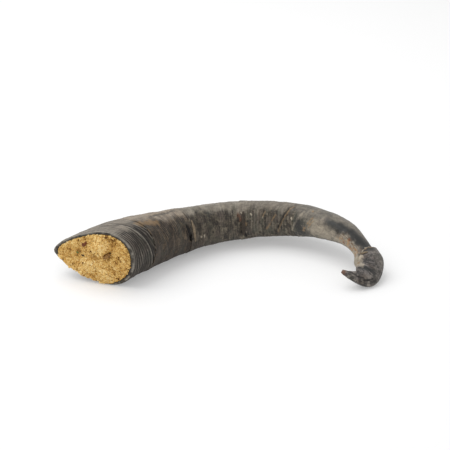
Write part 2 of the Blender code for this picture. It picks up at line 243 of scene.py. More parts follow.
def smooth_curve(at: np.ndarray, values: np.ndarray, where: np.ndarray) -> np.ndarray:
    """A cubic through the stations whose slopes are weighted harmonic means, so it never overshoots.

    Args:
        at, values: the stations.
        where: places to read.

    Returns:
        The curve at those places, by the cubic Hermite formula in each span.
    """
    span = np.diff(at)
    slope = np.diff(values) / span
    before, after = slope[:-1], slope[1:]
    same_way = before * after > 0
    weight_a, weight_b = 2 * span[1:] + span[:-1], span[1:] + 2 * span[:-1]
    safe_before, safe_after = np.where(same_way, before, 1.0), np.where(same_way, after, 1.0)
    middle = (weight_a + weight_b) / (weight_a / safe_before + weight_b / safe_after)
    tangent = np.concatenate([[slope[0]], np.where(same_way, middle, 0.0), [slope[-1]]])
    cell = np.clip(np.searchsorted(at, where, side="right") - 1, 0, len(span) - 1)
    t = (where - at[cell]) / span[cell]
    from_start = (1 + 2 * t) * (1 - t) ** 2 * values[cell] + t * (1 - t) ** 2 * span[cell] * tangent[cell]
    from_end = t * t * (3 - 2 * t) * values[cell + 1] + t * t * (t - 1) * span[cell] * tangent[cell + 1]
    return from_start + from_end


@dataclass
class HornShape:
    """The curled, tapering shape of the horn, with the same sizes as the CAD model."""

    length: float = 293.0
    mouth_depth: float = 63.0
    keel_sharpness: float = 0.40
    tip_sharpness: float = 0.15
    belly_lift: float = 0.11
    lift_power: int = 3
    start_height: float = 20.5
    mouth_wall: float = 1.8
    body_wall: float = 3.4
    wall_ramp: float = 24.0
    skin: float = 1.2
    gap: float = 0.3
    core_gap: float = 0.6
    overlap: float = 12.0
    core_grip: float = 9.0
    core_end_gap: float = 1.8
    ridge: float = 0.5
    cap_ridge: float = 1.5
    ridge_fade: float = 7.0
    bore_length: float = 226.0
    bore_dome: float = 20.0
    notch_length: float = 13.0
    notch_power: int = 6
    growth_edges: tuple = (0.0, 0.102, 0.270, 0.454, 0.635, 0.850)
    shift: np.ndarray = field(default_factory=lambda: np.zeros(3))

    def __post_init__(self) -> None:
        """Works out the centreline and stands the horn on the floor, centred on the origin."""
        self.line_s = np.linspace(0, self.length, LINE_POINTS)
        heading = np.radians(self.station("heading", self.line_s))
        climb = np.radians(self.station("climb", self.line_s))
        level = np.cos(climb)
        self.forward = np.stack([level * np.cos(heading), level * np.sin(heading), np.sin(climb)], 1)
        step = (self.forward[1:] + self.forward[:-1]) / 2 * (self.line_s[1] - self.line_s[0])
        start = np.array([[0.0, 0.0, self.start_height]])
        self.place = np.concatenate([start, start + np.cumsum(step, 0)])
        carried = [np.array([0.0, 0.0, 1.0])]
        for forward in self.forward:
            flat = carried[-1] - forward * (carried[-1] @ forward)
            carried.append(flat / np.linalg.norm(flat))
        self.up = np.array(carried[1:])
        self.keel = np.cross(self.up, self.forward)
        s, theta = np.meshgrid(np.linspace(0, self.length, BOX_ROWS), np.linspace(0, 2 * np.pi, BOX_COLUMNS),
                               indexing="ij")
        points = self.point(s, theta, np.ones_like(s)).reshape(-1, 3)
        low, high = points.min(0), points.max(0)
        self.shift = -np.array([(low[0] + high[0]) / 2, (low[1] + high[1]) / 2, low[2]])

    def station(self, name: str, s: np.ndarray) -> np.ndarray:
        """One field of the stations, at distances s."""
        at = np.array([station.at * self.length for station in STATIONS])
        return smooth_curve(at, np.array([getattr(station, name) for station in STATIONS]), s)

    def half_depth(self, s: np.ndarray) -> np.ndarray:
        """Half of the keel-to-belly depth at s."""
        return self.station("depth", s) * self.mouth_depth / 2

    def half_width(self, s: np.ndarray) -> np.ndarray:
        """Half of the flank-to-flank width at s."""
        return self.half_depth(s) * self.station("flatness", s)

    def inset(self, s: np.ndarray, depth: np.ndarray) -> np.ndarray:
        """The factor of a surface that lies this deep under the flank."""
        return 1 - depth / self.half_width(s)

    def read(self, table: np.ndarray, s: np.ndarray) -> np.ndarray:
        """A table of vectors along the centreline, at distances s."""
        return np.stack([np.interp(s, self.line_s, table[:, axis]) for axis in range(3)], -1)

    def point(self, s: np.ndarray, theta: np.ndarray, factor: np.ndarray) -> np.ndarray:
        """The point at s, theta and factor.

        Centre of the ring, plus the keel direction times depth times cos theta, plus the flank direction
        times width times sin theta times (1 - sharpness cos theta), which narrows the keel side, plus the
        lift of the belly, and moved back along the centreline by the tangent of the lean times the way
        towards the keel.

        Args:
            s, theta, factor: horn coordinates, all of one shape, theta in radians.

        Returns:
            Points in millimetres, shape (..., 3).
        """
        s = np.clip(s, 0, self.length)
        sharp_span = tuple(STATIONS[number].at * self.length for number in ROUNDING)
        sharp = np.interp(s, sharp_span, (self.keel_sharpness, self.tip_sharpness))
        to_keel = self.half_depth(s) * factor * np.cos(theta)
        belly = ((1 - np.cos(theta)) / 2) ** self.lift_power
        lift = self.belly_lift * np.clip(1 - s / sharp_span[0], 0, 1) * belly
        to_flank = self.half_width(s) * factor * (np.sin(theta) * (1 - sharp * np.cos(theta)) + lift)
        back = to_keel * np.tan(np.radians(self.station("lean", s)))
        place = self.read(self.place, s) + self.read(self.keel, s) * to_keel[..., None]
        place = place + self.read(self.up, s) * to_flank[..., None]
        return place - self.read(self.forward, s) * back[..., None] + self.shift

    def straight(self, s: np.ndarray, theta: np.ndarray, factor: np.ndarray) -> np.ndarray:
        """The same point on the horn uncurled into a straight round cone, for patterns that follow it."""
        radius = np.sqrt(self.half_depth(s) * self.half_width(s)) * factor
        return np.stack([s, radius * np.cos(theta), radius * np.sin(theta)], -1)

    def edge(self, index: int, theta: np.ndarray) -> np.ndarray:
        """The lower edge of a growth cone; the cap's is broken back along the belly.

        Args:
            index: number of the edge, from 0 at the mouth.
            theta: angles in radians.

        Returns:
            s at each angle. The break adds its length times a high power of sin(theta / 2).
        """
        ring = np.full(np.shape(theta), self.growth_edges[index] * self.length)
        if index < len(self.growth_edges) - 1:
            return ring
        return ring + self.notch_length * np.abs(np.sin(theta / 2)) ** (2 * self.notch_power)

    def ridge_height(self, index: int, theta: np.ndarray) -> np.ndarray:
        """How far an edge stands proud: growth edges all round, the cap's on its keel side.

        Args:
            index: number of the edge.
            theta: angles in radians.

        Returns:
            Heights in mm: none at the mouth, one height for a growth edge, and for the cap its own height
            times (1 + cos theta) / 2.
        """
        if index == 0:
            return np.zeros_like(theta)
        if index < len(self.growth_edges) - 1:
            return np.full(np.shape(theta), self.ridge)
        return self.cap_ridge * (1 + np.cos(theta)) / 2

    def bore_factor(self, s: np.ndarray, clearance: float = 0.0) -> np.ndarray:
        """The bore: its wall thickens behind the rim, and its inner end is a round dome.

        Args:
            s: distances along the horn.
            clearance: how far inside the bore the surface lies, in mm.

        Returns:
            The inset of the wall, times the root of one less the square of the share of the dome passed.
        """
        wall = self.mouth_wall + (self.body_wall - self.mouth_wall) * np.clip(s / self.wall_ramp, 0, 1)
        into_dome = np.clip((s - self.bore_length + self.bore_dome) / self.bore_dome, 0, 1)
        return self.inset(s, wall + clearance) * np.sqrt(1 - into_dome ** 2)


HORN = HornShape()


# ---------------------------------------------------------------- meshes

# Corners sharper than this are not shaded smooth, in degrees.
SHARP_ANGLE = 55.0


@dataclass
class RingGrid:
    """A surface of rings, each a row of points, joined row to row and closed all round.

    Args:
        place: points in millimetres, shape (rows, columns, 3).
        values: per-point numbers by attribute name, shape (rows, columns) or (rows, columns, 3).
        poles: the points that close the first and the last row, or None to join last row to first.
    """

    place: np.ndarray
    values: dict
    poles: tuple | None = None

    def normals(self) -> np.ndarray:
        """Unit normals: the cross product of the differences across and along the rows.

        Returns:
            Vectors, shape (rows, columns, 3); `assemble` turns them outwards.
        """
        across = np.roll(self.place, -1, 1) - np.roll(self.place, 1, 1)
        if self.poles is None:
            along = np.roll(self.place, -1, 0) - np.roll(self.place, 1, 0)
        else:
            along = np.gradient(self.place, axis=0)
        normal = np.cross(across, along)
        return normal / np.maximum(np.linalg.norm(normal, axis=-1, keepdims=True), 1e-9)

    def build(self, name: str) -> bpy.types.Object:
        """Makes the mesh: a four-sided face for each cell of the grid, and a fan round each pole.

        Args:
            name: object and mesh name.

        Returns:
            The object, with the values as mesh attributes.
        """
        rows, columns = self.place.shape[:2]
        vertices = self.place.reshape(-1, 3)
        extra = rows * columns
        last = rows if self.poles is None else rows - 1
        row, column = np.meshgrid(np.arange(last), np.arange(columns), indexing="ij")
        beside, above = (column + 1) % columns, (row + 1) % rows
        corners = [row * columns + column, above * columns + column, above * columns + beside,
                   row * columns + beside]
        loops = np.stack(corners, -1).reshape(-1)
        sizes = np.full(last * columns, 4)
        if self.poles is not None:
            ring, following = np.arange(columns), (np.arange(columns) + 1) % columns
            vertices = np.concatenate([vertices, np.array(self.poles)])
            foot = np.stack([ring, following, np.full(columns, extra)], -1)
            base = (rows - 1) * columns
            head = np.stack([base + following, base + ring, np.full(columns, extra + 1)], -1)
            loops = np.concatenate([loops, foot.reshape(-1), head.reshape(-1)])
            sizes = np.concatenate([sizes, np.full(2 * columns, 3)])
        piece = mesh_object(name, vertices * METRES, loops, sizes)
        for attribute, array in self.values.items():
            flat = array.reshape(extra, -1)
            if self.poles is not None:
                flat = np.concatenate([flat, flat[:1], flat[-1:]])
            write_attribute(piece.data, attribute, flat)
        return piece


def mesh_object(name: str, vertices: np.ndarray, loops: np.ndarray, sizes: np.ndarray) -> bpy.types.Object:
    """A mesh object from arrays.

    Args:
        name: object and mesh name.
        vertices: points in metres, shape (n, 3).
        loops: vertex numbers of all faces in a row.
        sizes: number of corners of each face.

    Returns:
        The object, linked to the scene, at the origin, with its faces turned outwards.
    """
    mesh = bpy.data.meshes.new(name)
    mesh.vertices.add(len(vertices))
    mesh.vertices.foreach_set("co", vertices.astype(np.float32).reshape(-1))
    mesh.loops.add(len(loops))
    mesh.loops.foreach_set("vertex_index", loops.astype(np.int32))
    mesh.polygons.add(len(sizes))
    starts = np.concatenate([[0], np.cumsum(sizes)[:-1]])
    mesh.polygons.foreach_set("loop_start", starts.astype(np.int32))
    mesh.update(calc_edges=True)
    mesh.validate()
    if signed_volume(vertices, loops, sizes) < 0:
        mesh.flip_normals()
    mesh.shade_smooth()
    mesh.set_sharp_from_angle(angle=np.radians(SHARP_ANGLE))
    piece = bpy.data.objects.new(name, mesh)
    bpy.context.scene.collection.objects.link(piece)
    return piece


def signed_volume(vertices: np.ndarray, loops: np.ndarray, sizes: np.ndarray) -> float:
    """Volume of a closed mesh, by the sum of a . (b x c) / 6 over fan triangles.

    Args:
        vertices, loops, sizes: as for `mesh_object`.

    Returns:
        Cubic metres, negative if the faces point inwards.
    """
    starts = np.concatenate([[0], np.cumsum(sizes)[:-1]])
    total = 0.0
    for corner in range(1, int(sizes.max()) - 1):
        use = starts[sizes > corner + 1]
        a, b, c = vertices[loops[use]], vertices[loops[use + corner]], vertices[loops[use + corner + 1]]
        total += float(np.einsum("ij,ij->", a, np.cross(b, c))) / 6
    return total


def write_attribute(mesh: bpy.types.Mesh, name: str, values: np.ndarray) -> None:
    """Writes numbers as a mesh attribute.

    Args:
        mesh: to write to.
        name: of the attribute.
        values: one or three numbers to a point, shape (points, 1) or (points, 3).
    """
    kind, key = ("FLOAT_VECTOR", "vector") if values.shape[-1] == 3 else ("FLOAT", "value")
    attribute = mesh.attributes.new(name, kind, "POINT")
    attribute.data.foreach_set(key, values.astype(np.float32).reshape(-1))


# ---------------------------------------------------------------- materials

def linear(hex_colour: str) -> tuple:
    """An sRGB hex colour as linear red, green, blue and an alpha of 1."""
    channels = [int(hex_colour[i:i + 2], 16) / 255 for i in (1, 3, 5)]
    return tuple(c / 12.92 if c <= 0.04045 else ((c + 0.055) / 1.055) ** 2.4 for c in channels) + (1.0,)


def add_node(tree: bpy.types.NodeTree, kind: str, inputs: dict | None = None, stops: tuple = (),
             **settings: object) -> bpy.types.Node:
    """Adds a node.

    Args:
        tree: the material's tree.
        kind: the node's type name.
        inputs: by socket name or number, an output to link from or a value to set.
        stops: for a colour ramp, pairs of position and hex colour.
        settings: the node's own properties.

    Returns:
        The node.
    """
    made = tree.nodes.new(kind)
    for name, value in settings.items():
        setattr(made, name, value)
    for position, colour in stops[:2]:
        element = made.color_ramp.elements[0 if position == stops[0][0] else 1]
        element.position, element.color = position, linear(colour)
    for position, colour in stops[2:]:
        made.color_ramp.elements.new(position).color = linear(colour)
    for name, value in (inputs or {}).items():
        if isinstance(value, bpy.types.NodeSocket):
            tree.links.new(value, made.inputs[name])
        else:
            made.inputs[name].default_value = value
    return made


# Slow drifts of the keratin's colour, each read at its own offset in mm: pinkish brown and olive grey.
DRIFTS = (((40.0, 0.0, 0.0), "#5e524a"), ((0.0, 70.0, 0.0), "#3f4238"))
DRIFT_SIZE = 7.0
# What each mask paints over the dusty, top-lit grey, in the order that it is laid on.
# The side_shade_and_dark_blade tint is painted shade on the belly side of the base, and darkens the hook's
# blade;
# the hollow tint is painted shade in cracks, pits, grooves, joints, the bore, the slot under the lifted scale
# and along the rim's inner edge.
MASK_TINTS = (("line", "#a8a195"), ("dark", "#2a2a29"), ("side_shade_and_dark_blade", "#261e16"), ("pale", "#b6aa97"),
              ("tan", "#8f7350"), ("amber", "#ad8253"), ("rust", "#6e4024"), ("hollow", "#14110f"))
# These masks are broken up by the mottling.
GRAINY_MASKS = ("dust_and_top_light", "line", "pale")


@dataclass(frozen=True)
class KeratinFinish:
    """Raw horn keratin: a dull, fibrous protein, ringed by growth and never polished.

    Its colour is mottled at a few millimetres and drifts between olive grey and a pinkish brown. The ring
    valleys are darkened with painted shade and the crests pale, broken places show tan fibres, and dust
    with painted light from above greys the upper flank.

    Args:
        name: of the material.
        dark, middle, light: the mottling, in sRGB hex.
        dust_and_top_light: colour of the dust on the upper flank, which also paints the light from above.
        roughness: mean roughness.
        mottle: size of the mottling in mm.
        fibre: share of the fibre pattern in the mottling.
        bump: a quarter of the height that the mottling stands for in the shader's relief, in mm.
    """

    name: str
    dark: str
    middle: str
    light: str
    dust_and_top_light: str = "#8b8276"
    roughness: float = 0.6
    mottle: float = 4.0
    fibre: float = 0.4
    bump: float = 0.12

    def build(self) -> bpy.types.Material:
        """Makes the node tree: mottled ramp, drifts of colour, then the masks painted over it in turn.

        Returns:
            The material.
        """
        material = bpy.data.materials.new(self.name)
        material.use_nodes = True
        tree = material.node_tree
        surface = tree.nodes["Principled BSDF"]
        place = add_node(tree, "ShaderNodeAttribute", attribute_name="straight").outputs["Vector"]
        broad = self.pattern(tree, place, (1.0, 1.0, 1.0), 1 / self.mottle, 5.0)
        # Fibres of keratin run along the horn: the pattern is stretched about eight times that way.
        fibres = self.pattern(tree, place, (0.12, 1.0, 1.0), 0.9, 4.0)
        grain = self.pattern(tree, place, (1.0, 1.0, 1.0), 1.4, 3.0)
        blend = add_node(tree, "ShaderNodeMix", {0: self.fibre, 2: broad, 3: fibres}).outputs[0]
        mixed = add_node(tree, "ShaderNodeMix", {0: 0.35, 2: blend, 3: grain}).outputs[0]
        # Painted shade: darker in the ring valleys and off the raised scabs, paler on the crests; on the rim
        # this value is only its own tone.
        shade_and_tone = add_node(tree, "ShaderNodeAttribute", attribute_name="shade_and_tone").outputs["Fac"]
        shaded = add_node(tree, "ShaderNodeMath", {0: shade_and_tone, 1: 0.16, 2: mixed}, operation="MULTIPLY_ADD")
        stops = ((0.37, self.dark), (0.64, self.light), (0.49, self.middle))
        colour = add_node(tree, "ShaderNodeValToRGB", {"Fac": shaded.outputs[0]}, stops).outputs["Color"]
        for offset, tint in DRIFTS:
            moved = add_node(tree, "ShaderNodeVectorMath", {0: place, 1: offset}, operation="ADD").outputs[0]
            patch = self.pattern(tree, moved, (1.0, 0.7, 0.7), 1 / DRIFT_SIZE, 3.0)
            weight = add_node(tree, "ShaderNodeMapRange", {"Value": patch, "From Min": 0.5, "From Max": 0.68,
                                                           "To Max": 0.55}).outputs[0]
            colour = self.paint(tree, colour, weight, tint)
        grainy = add_node(tree, "ShaderNodeMapRange", {"Value": mixed, "From Min": 0.36, "From Max": 0.6,
                                                       "To Min": 0.35, "To Max": 1.0}).outputs[0]
        for mask, tint in (("dust_and_top_light", self.dust_and_top_light), *MASK_TINTS):
            weight = add_node(tree, "ShaderNodeAttribute", attribute_name=mask).outputs["Fac"]
            if mask in GRAINY_MASKS:
                product = add_node(tree, "ShaderNodeMath", {0: weight, 1: grainy}, operation="MULTIPLY")
                weight = product.outputs[0]
            colour = self.paint(tree, colour, weight, tint)
        tree.links.new(colour, surface.inputs["Base Color"])
        rough = add_node(tree, "ShaderNodeMapRange", {"Value": mixed, "From Min": 0.3, "From Max": 0.7,
                                                      "To Min": self.roughness - 0.12,
                                                      "To Max": self.roughness + 0.15})
        tree.links.new(rough.outputs[0], surface.inputs["Roughness"])
        relief = add_node(tree, "ShaderNodeBump", {"Height": mixed, "Strength": 0.7,
                                                   "Distance": self.bump * METRES * 4})
        tree.links.new(relief.outputs[0], surface.inputs["Normal"])
        surface.inputs["IOR"].default_value = 1.54
        surface.inputs["Specular IOR Level"].default_value = 0.3
        return material

    @staticmethod
    def pattern(tree: bpy.types.NodeTree, place: bpy.types.NodeSocket, stretch: tuple, per_mm: float,
                detail: float) -> bpy.types.NodeSocket:
        """A noise pattern.

        Args:
            tree: the material's tree.
            place: the point, in mm.
            stretch: factor of the scale on each axis.
            per_mm: cells to the millimetre.
            detail: number of finer noises added.

        Returns:
            The noise, from 0 to 1.
        """
        if stretch != (1.0, 1.0, 1.0):
            scaled = add_node(tree, "ShaderNodeVectorMath", {0: place, 1: stretch}, operation="MULTIPLY")
            place = scaled.outputs[0]
        return add_node(tree, "ShaderNodeTexNoise", {"Vector": place, "Scale": per_mm, "Detail": detail,
                                                     "Roughness": 0.62}).outputs["Fac"]

    @staticmethod
    def paint(tree: bpy.types.NodeTree, colour: bpy.types.NodeSocket, weight: bpy.types.NodeSocket,
              tint: str) -> bpy.types.NodeSocket:
        """Mixes a colour over another by a weight."""
        inputs = {"Factor": weight, 6: colour, 7: linear(tint)}
        return add_node(tree, "ShaderNodeMix", inputs, data_type="RGBA").outputs[2]


@dataclass(frozen=True)
class CrumbFinish:
    """Coarse dry crumb, like ground meal or soft sawdust: matt, golden, every grain its own shade.

    Args:
        name: of the material.
    """

    name: str = "ground_crumb"

    def build(self) -> bpy.types.Material:
        """Makes the node tree: the grain's own shade picks the colour, and noise varies it.

        Returns:
            The material.
        """
        material = bpy.data.materials.new(self.name)
        material.use_nodes = True
        tree = material.node_tree
        surface = tree.nodes["Principled BSDF"]
        shade = add_node(tree, "ShaderNodeAttribute", attribute_name="shade")
        where = add_node(tree, "ShaderNodeTexCoord")
        # Lumps of 4 mm and specks of 0.8 mm.
        lumps = add_node(tree, "ShaderNodeTexNoise", {"Vector": where.outputs["Object"], "Scale": 250.0,
                                                      "Detail": 4.0})
        specks = add_node(tree, "ShaderNodeTexNoise", {"Vector": where.outputs["Object"], "Scale": 1300.0,
                                                       "Detail": 2.0})
        mixed = add_node(tree, "ShaderNodeMix", {0: 0.5, 2: lumps.outputs["Fac"], 3: specks.outputs["Fac"]})
        total = add_node(tree, "ShaderNodeMath", {0: shade.outputs["Fac"], 1: 0.55, 2: mixed.outputs[0]},
                         operation="MULTIPLY_ADD")
        stops = ((0.0, "#5a3a1c"), (1.0, "#f8e6b8"), (0.26, "#9a6f36"), (0.40, "#cfa55c"), (0.52, "#dfb970"),
                 (0.68, "#edcf8e"))
        colour = add_node(tree, "ShaderNodeValToRGB", {"Fac": total.outputs[0]}, stops)
        tree.links.new(colour.outputs["Color"], surface.inputs["Base Color"])
        relief = add_node(tree, "ShaderNodeBump", {"Height": specks.outputs["Fac"], "Strength": 0.5,
                                                   "Distance": 0.0003})
        tree.links.new(relief.outputs[0], surface.inputs["Normal"])
        surface.inputs["Roughness"].default_value = 0.9
        surface.inputs["Specular IOR Level"].default_value = 0.2
        return material


@dataclass(frozen=True)
class FlakeFinish:
    """A dry flake of bark, husk, leaf or keratin: matt, streaked along its length.

    Args:
        name: of the material.
        dark, light: ends of the streaks' colours, in sRGB hex.
    """

    name: str
    dark: str
    light: str

    def build(self) -> bpy.types.Material:
        """Makes the node tree: streaks between two colours, with a matching bump.

        Returns:
            The material.
        """
        material = bpy.data.materials.new(self.name)
        material.use_nodes = True
        tree = material.node_tree
        surface = tree.nodes["Principled BSDF"]
        along = add_node(tree, "ShaderNodeAttribute", attribute_name="along")
        streaks = add_node(tree, "ShaderNodeTexNoise", {"Vector": along.outputs["Vector"], "Scale": 1.6,
                                                        "Detail": 4.0})
        stops = ((0.35, self.dark), (0.68, self.light))
        colour = add_node(tree, "ShaderNodeValToRGB", {"Fac": streaks.outputs["Fac"]}, stops)
        tree.links.new(colour.outputs["Color"], surface.inputs["Base Color"])
        relief = add_node(tree, "ShaderNodeBump", {"Height": streaks.outputs["Fac"], "Strength": 0.5,
                                                   "Distance": 0.0004})
        tree.links.new(relief.outputs[0], surface.inputs["Normal"])
        surface.inputs["Roughness"].default_value = 0.75
        surface.inputs["Specular IOR Level"].default_value = 0.3
        return material


COLLAR = KeratinFinish("collar_horn_keratin", "#17130f", "#302a24", "#574e44", dust_and_top_light="#968c7f")
BROWN = KeratinFinish("brown_horn_keratin", "#1d1611", "#43372b", "#75634c", dust_and_top_light="#a19484")
LOWER = KeratinFinish("lower_body_horn_keratin", "#201b17", "#423b31", "#716858", dust_and_top_light="#928a7d")
UPPER = KeratinFinish("upper_body_horn_keratin", "#221e1a", "#484136", "#776e5f")
NECK = KeratinFinish("neck_horn_keratin", "#2a2927", "#4b4842", "#7a7466", roughness=0.5, bump=0.06)
CAP = KeratinFinish("cap_horn_keratin", "#2a2828", "#514d4b", "#837c77", roughness=0.5, mottle=6.0,
                    fibre=0.25, bump=0.08)


# ---------------------------------------------------------------- marks on the horn

class Mark(Enum):
    """What a mark does to the surface: which mask it paints."""

    # A crack paints the hollow mask: painted shade in the crack.
    CRACK = "hollow"
    FIBRE = "tan"
    PALE = "pale"
    DARK = "dark"
    RUST = "rust"


# The masks that every keratin surface carries.
MASKS = ("shade_and_tone", "dust_and_top_light", "line", "side_shade_and_dark_blade", "amber", *[mark.value for mark in Mark])
# A patch with a larger half width than this, in mm, wanders more slowly and fades further in.
WIDE_PATCH = 2.5
# Cells to the millimetre of the noise that moves a feature's edge.
EDGE_SCALE = 0.9


@dataclass(frozen=True)
class Feature:
    """A crack, scar, stain or patch drawn along a short path on the outer surface.

    Args:
        mark: what it is.
        path: points (s in mm, theta in degrees).
        width: half width in mm at which it has faded.
        height: how far it stands proud, negative for a groove.
        strength: how fully its mask is painted.
        ragged: how far its edge wanders, as a share of the width.
    """

    mark: Mark
    path: tuple
    width: float
    height: float = 0.0
    strength: float = 1.0
    ragged: float = 0.5

    def near(self, s: np.ndarray) -> bool:
        """Whether the feature may reach any of these distances along the horn."""
        ends = [point[0] for point in self.path]
        return min(ends) - 2 * self.width < s.max() and max(ends) + 2 * self.width > s.min()

    def weight(self, s: np.ndarray, theta: np.ndarray, straight: np.ndarray) -> np.ndarray:
        """How much of the feature is at each point: 1 on its path, falling smoothly to 0 at its width.

        Distance is measured to each straight piece of the path on the unrolled surface, whose second
        axis is the angle from the path's start times the local mean radius. A noise moves the edge.

        Args:
            s, theta: the points, shape (rows, columns).
            straight: the same points on the uncurled horn.

        Returns:
            Weights from 0 to 1, shape (rows, columns).
        """
        centre = np.radians(self.path[0][1])
        radius = np.sqrt(HORN.half_depth(s) * HORN.half_width(s))
        turn = (theta - centre + np.pi) % (2 * np.pi) - np.pi
        here = np.stack([s, turn * radius], -1)
        nearest = np.full(s.shape, 1e3)
        path = [np.array(p, float) for p in self.path]
        for low, high in zip(path[:-1], path[1:]):
            mean = (low[0] + high[0]) / 2
            local = float(np.sqrt(HORN.half_depth(np.array([mean])) * HORN.half_width(np.array([mean])))[0])
            a = np.array([low[0], (np.radians(low[1]) - centre) * local])
            b = np.array([high[0], (np.radians(high[1]) - centre) * local])
            share = np.clip(((here - a) @ (b - a)) / max((b - a) @ (b - a), 1e-9), 0, 1)
            nearest = np.minimum(nearest, np.linalg.norm(here - a - share[..., None] * (b - a), axis=-1))
        seed = int(abs(self.path[0][0] * 31 + self.path[0][1] * 7)) + 5
        slow = min(1.0, WIDE_PATCH / self.width)
        wander = layered_noise(straight * EDGE_SCALE * slow, seed, 2) * self.ragged * self.width
        return 1 - ramp(nearest + wander, 0.35 * slow * self.width, self.width)


FEATURES = (
    # base: rubbed oval scar with a dark rim, and tan streaks on the upper flank
    Feature(Mark.DARK, ((28, 120), (36, 124), (45, 129)), 7.0, -0.2, 0.6, 0.4),
    Feature(Mark.FIBRE, ((29, 121), (36, 125), (44, 130)), 4.6, 0.15, 0.5, 0.6),
    Feature(Mark.FIBRE, ((49, 91), (60, 90), (76, 83)), 1.2, 0.1, 0.18, 1.2),
    Feature(Mark.FIBRE, ((45, 104), (58, 103), (70, 98)), 1.1, 0.1, 0.15, 1.2),
    Feature(Mark.DARK, ((46, 110), (60, 108), (72, 104)), 1.8, -0.1, 0.6, 0.9),
    # the slot behind the lifted scale, painted dark as the shade under the scale
    Feature(Mark.CRACK, ((75.6, 154), (77.2, 168), (78.6, 182)), 1.9, -1.0, 1.0, 0.25),
    Feature(Mark.CRACK, ((73.8, 164), (75.2, 176)), 1.1, -0.4, 0.6, 0.6),
    Feature(Mark.PALE, ((90.3, 183), (90.9, 184)), 0.9, 0.2, 0.75, 0.5),
    Feature(Mark.PALE, ((93.8, 181), (94.3, 185)), 1.0, 0.2, 0.8, 0.5),
    # crown: brown break with a pit below it, painted dark as the shade in the pit
    Feature(Mark.RUST, ((131.2, 148), (133.5, 160)), 2.0, 0.1, 0.45, 0.9),
    Feature(Mark.FIBRE, ((136.5, 160), (138.5, 172)), 1.5, 0.1, 0.5, 0.9),
    Feature(Mark.CRACK, ((131, 150), (131.8, 166)), 0.9, -0.3, 0.6, 0.8),
    Feature(Mark.CRACK, ((135.5, 192), (138.4, 207)), 1.8, -0.8, 1.0, 0.4),
    Feature(Mark.PALE, ((143.5, 147), (144.2, 150)), 1.0, 0.1, 1.0, 0.2),
    Feature(Mark.PALE, ((134, 142), (134.6, 144)), 0.8, 0.1, 0.9, 0.2),
    # tan cracks that lean back towards the mouth as they run down the side, with painted shade in the cracks
    Feature(Mark.CRACK, ((156.4, 140), (154.4, 158)), 0.9, -0.25, 0.45, 0.6),
    Feature(Mark.FIBRE, ((157.4, 142), (155.6, 155)), 0.7, 0.1, 0.5, 0.9),
    Feature(Mark.PALE, ((155.3, 155), (155.0, 158)), 0.7, 0.1, 0.8, 0.3),
    Feature(Mark.FIBRE, ((168.2, 149), (165.0, 166)), 0.7, 0.1, 0.5, 0.9),
    Feature(Mark.FIBRE, ((163.5, 172), (159.7, 188)), 1.0, 0.1, 0.45, 0.9),
    Feature(Mark.CRACK, ((179.8, 116), (175.4, 156), (168.4, 199)), 1.1, -0.4, 0.55, 0.6),
    Feature(Mark.FIBRE, ((181.2, 116), (177.0, 152)), 0.9, 0.2, 0.55, 0.9),
    Feature(Mark.FIBRE, ((177.0, 152), (170.2, 199)), 0.7, 0.1, 0.35, 0.9),
    Feature(Mark.DARK, ((181.5, 112), (183.5, 128)), 1.8, 0.0, 0.6, 0.8),
    Feature(Mark.PALE, ((183.4, 156), (183.9, 159)), 1.1, 0.1, 1.0, 0.2),
    Feature(Mark.PALE, ((192.9, 128), (190.0, 152), (183.9, 192)), 1.1, 0.15, 0.45, 0.6),
    Feature(Mark.DARK, ((189.6, 164), (192.6, 196)), 4.5, 0.0, 0.75, 0.8),
    Feature(Mark.FIBRE, ((202.3, 143), (199.0, 166)), 0.7, 0.15, 0.6, 0.9),
    Feature(Mark.FIBRE, ((203.6, 152), (200.2, 176)), 0.8, 0.15, 0.5, 0.9),
    Feature(Mark.FIBRE, ((196.6, 180), (195.4, 188)), 1.2, 0.1, 0.6, 0.8),
    Feature(Mark.FIBRE, ((198.0, 113), (199.0, 119)), 1.1, 0.1, 0.6, 0.6),
    # neck: pale belly, dark smooth flank, broken patch above the seam
    Feature(Mark.PALE, ((206, 176), (222, 180), (246, 184)), 9.5, 0.0, 0.8, 0.35),
    Feature(Mark.PALE, ((209, 146), (216, 160)), 4.0, 0.0, 0.35, 0.9),
    Feature(Mark.DARK, ((218, 139), (231, 130)), 6.5, 0.0, 0.95, 0.35),
    Feature(Mark.DARK, ((226, 130), (239, 113), (248, 94)), 9.0, 0.0, 1.0, 0.25),
    Feature(Mark.DARK, ((236, 106), (247, 80)), 8.0, 0.0, 0.9, 0.3),
    Feature(Mark.CRACK, ((225.5, 150), (227.0, 154)), 1.6, -0.1, 0.6, 0.8),
    Feature(Mark.RUST, ((236.4, 142), (237.2, 145)), 1.3, 0.1, 0.8, 0.6),
    Feature(Mark.RUST, ((234.0, 182), (234.8, 186)), 1.1, 0.1, 0.7, 0.6),
    # cap: painted shadow, a dark line where the blade of the hook lies against the plate; and a tan crack
    Feature(Mark.CRACK, ((286.8, 112), (282.5, 82), (277.7, 63), (271.8, 45)), 0.75, -0.4, 0.7, 0.0),
    Feature(Mark.DARK, ((268.5, 70), (269.0, 93), (270.5, 118)), 3.2, -0.25, 0.85, 0.4),
    Feature(Mark.FIBRE, ((262.4, 152), (263.4, 160)), 0.9, 0.0, 0.8, 0.8),
)


# ---------------------------------------------------------------- growth cones

# Where the dust and painted top light end on the flank: angles in degrees at distances along the horn.
DUST_AND_TOP_LIGHT_END_S = (0, 60, 100, 140, 186, 206, 232, 250)
DUST_AND_TOP_LIGHT_END_THETA = (124, 122, 124, 133, 139, 150, 104, 85)
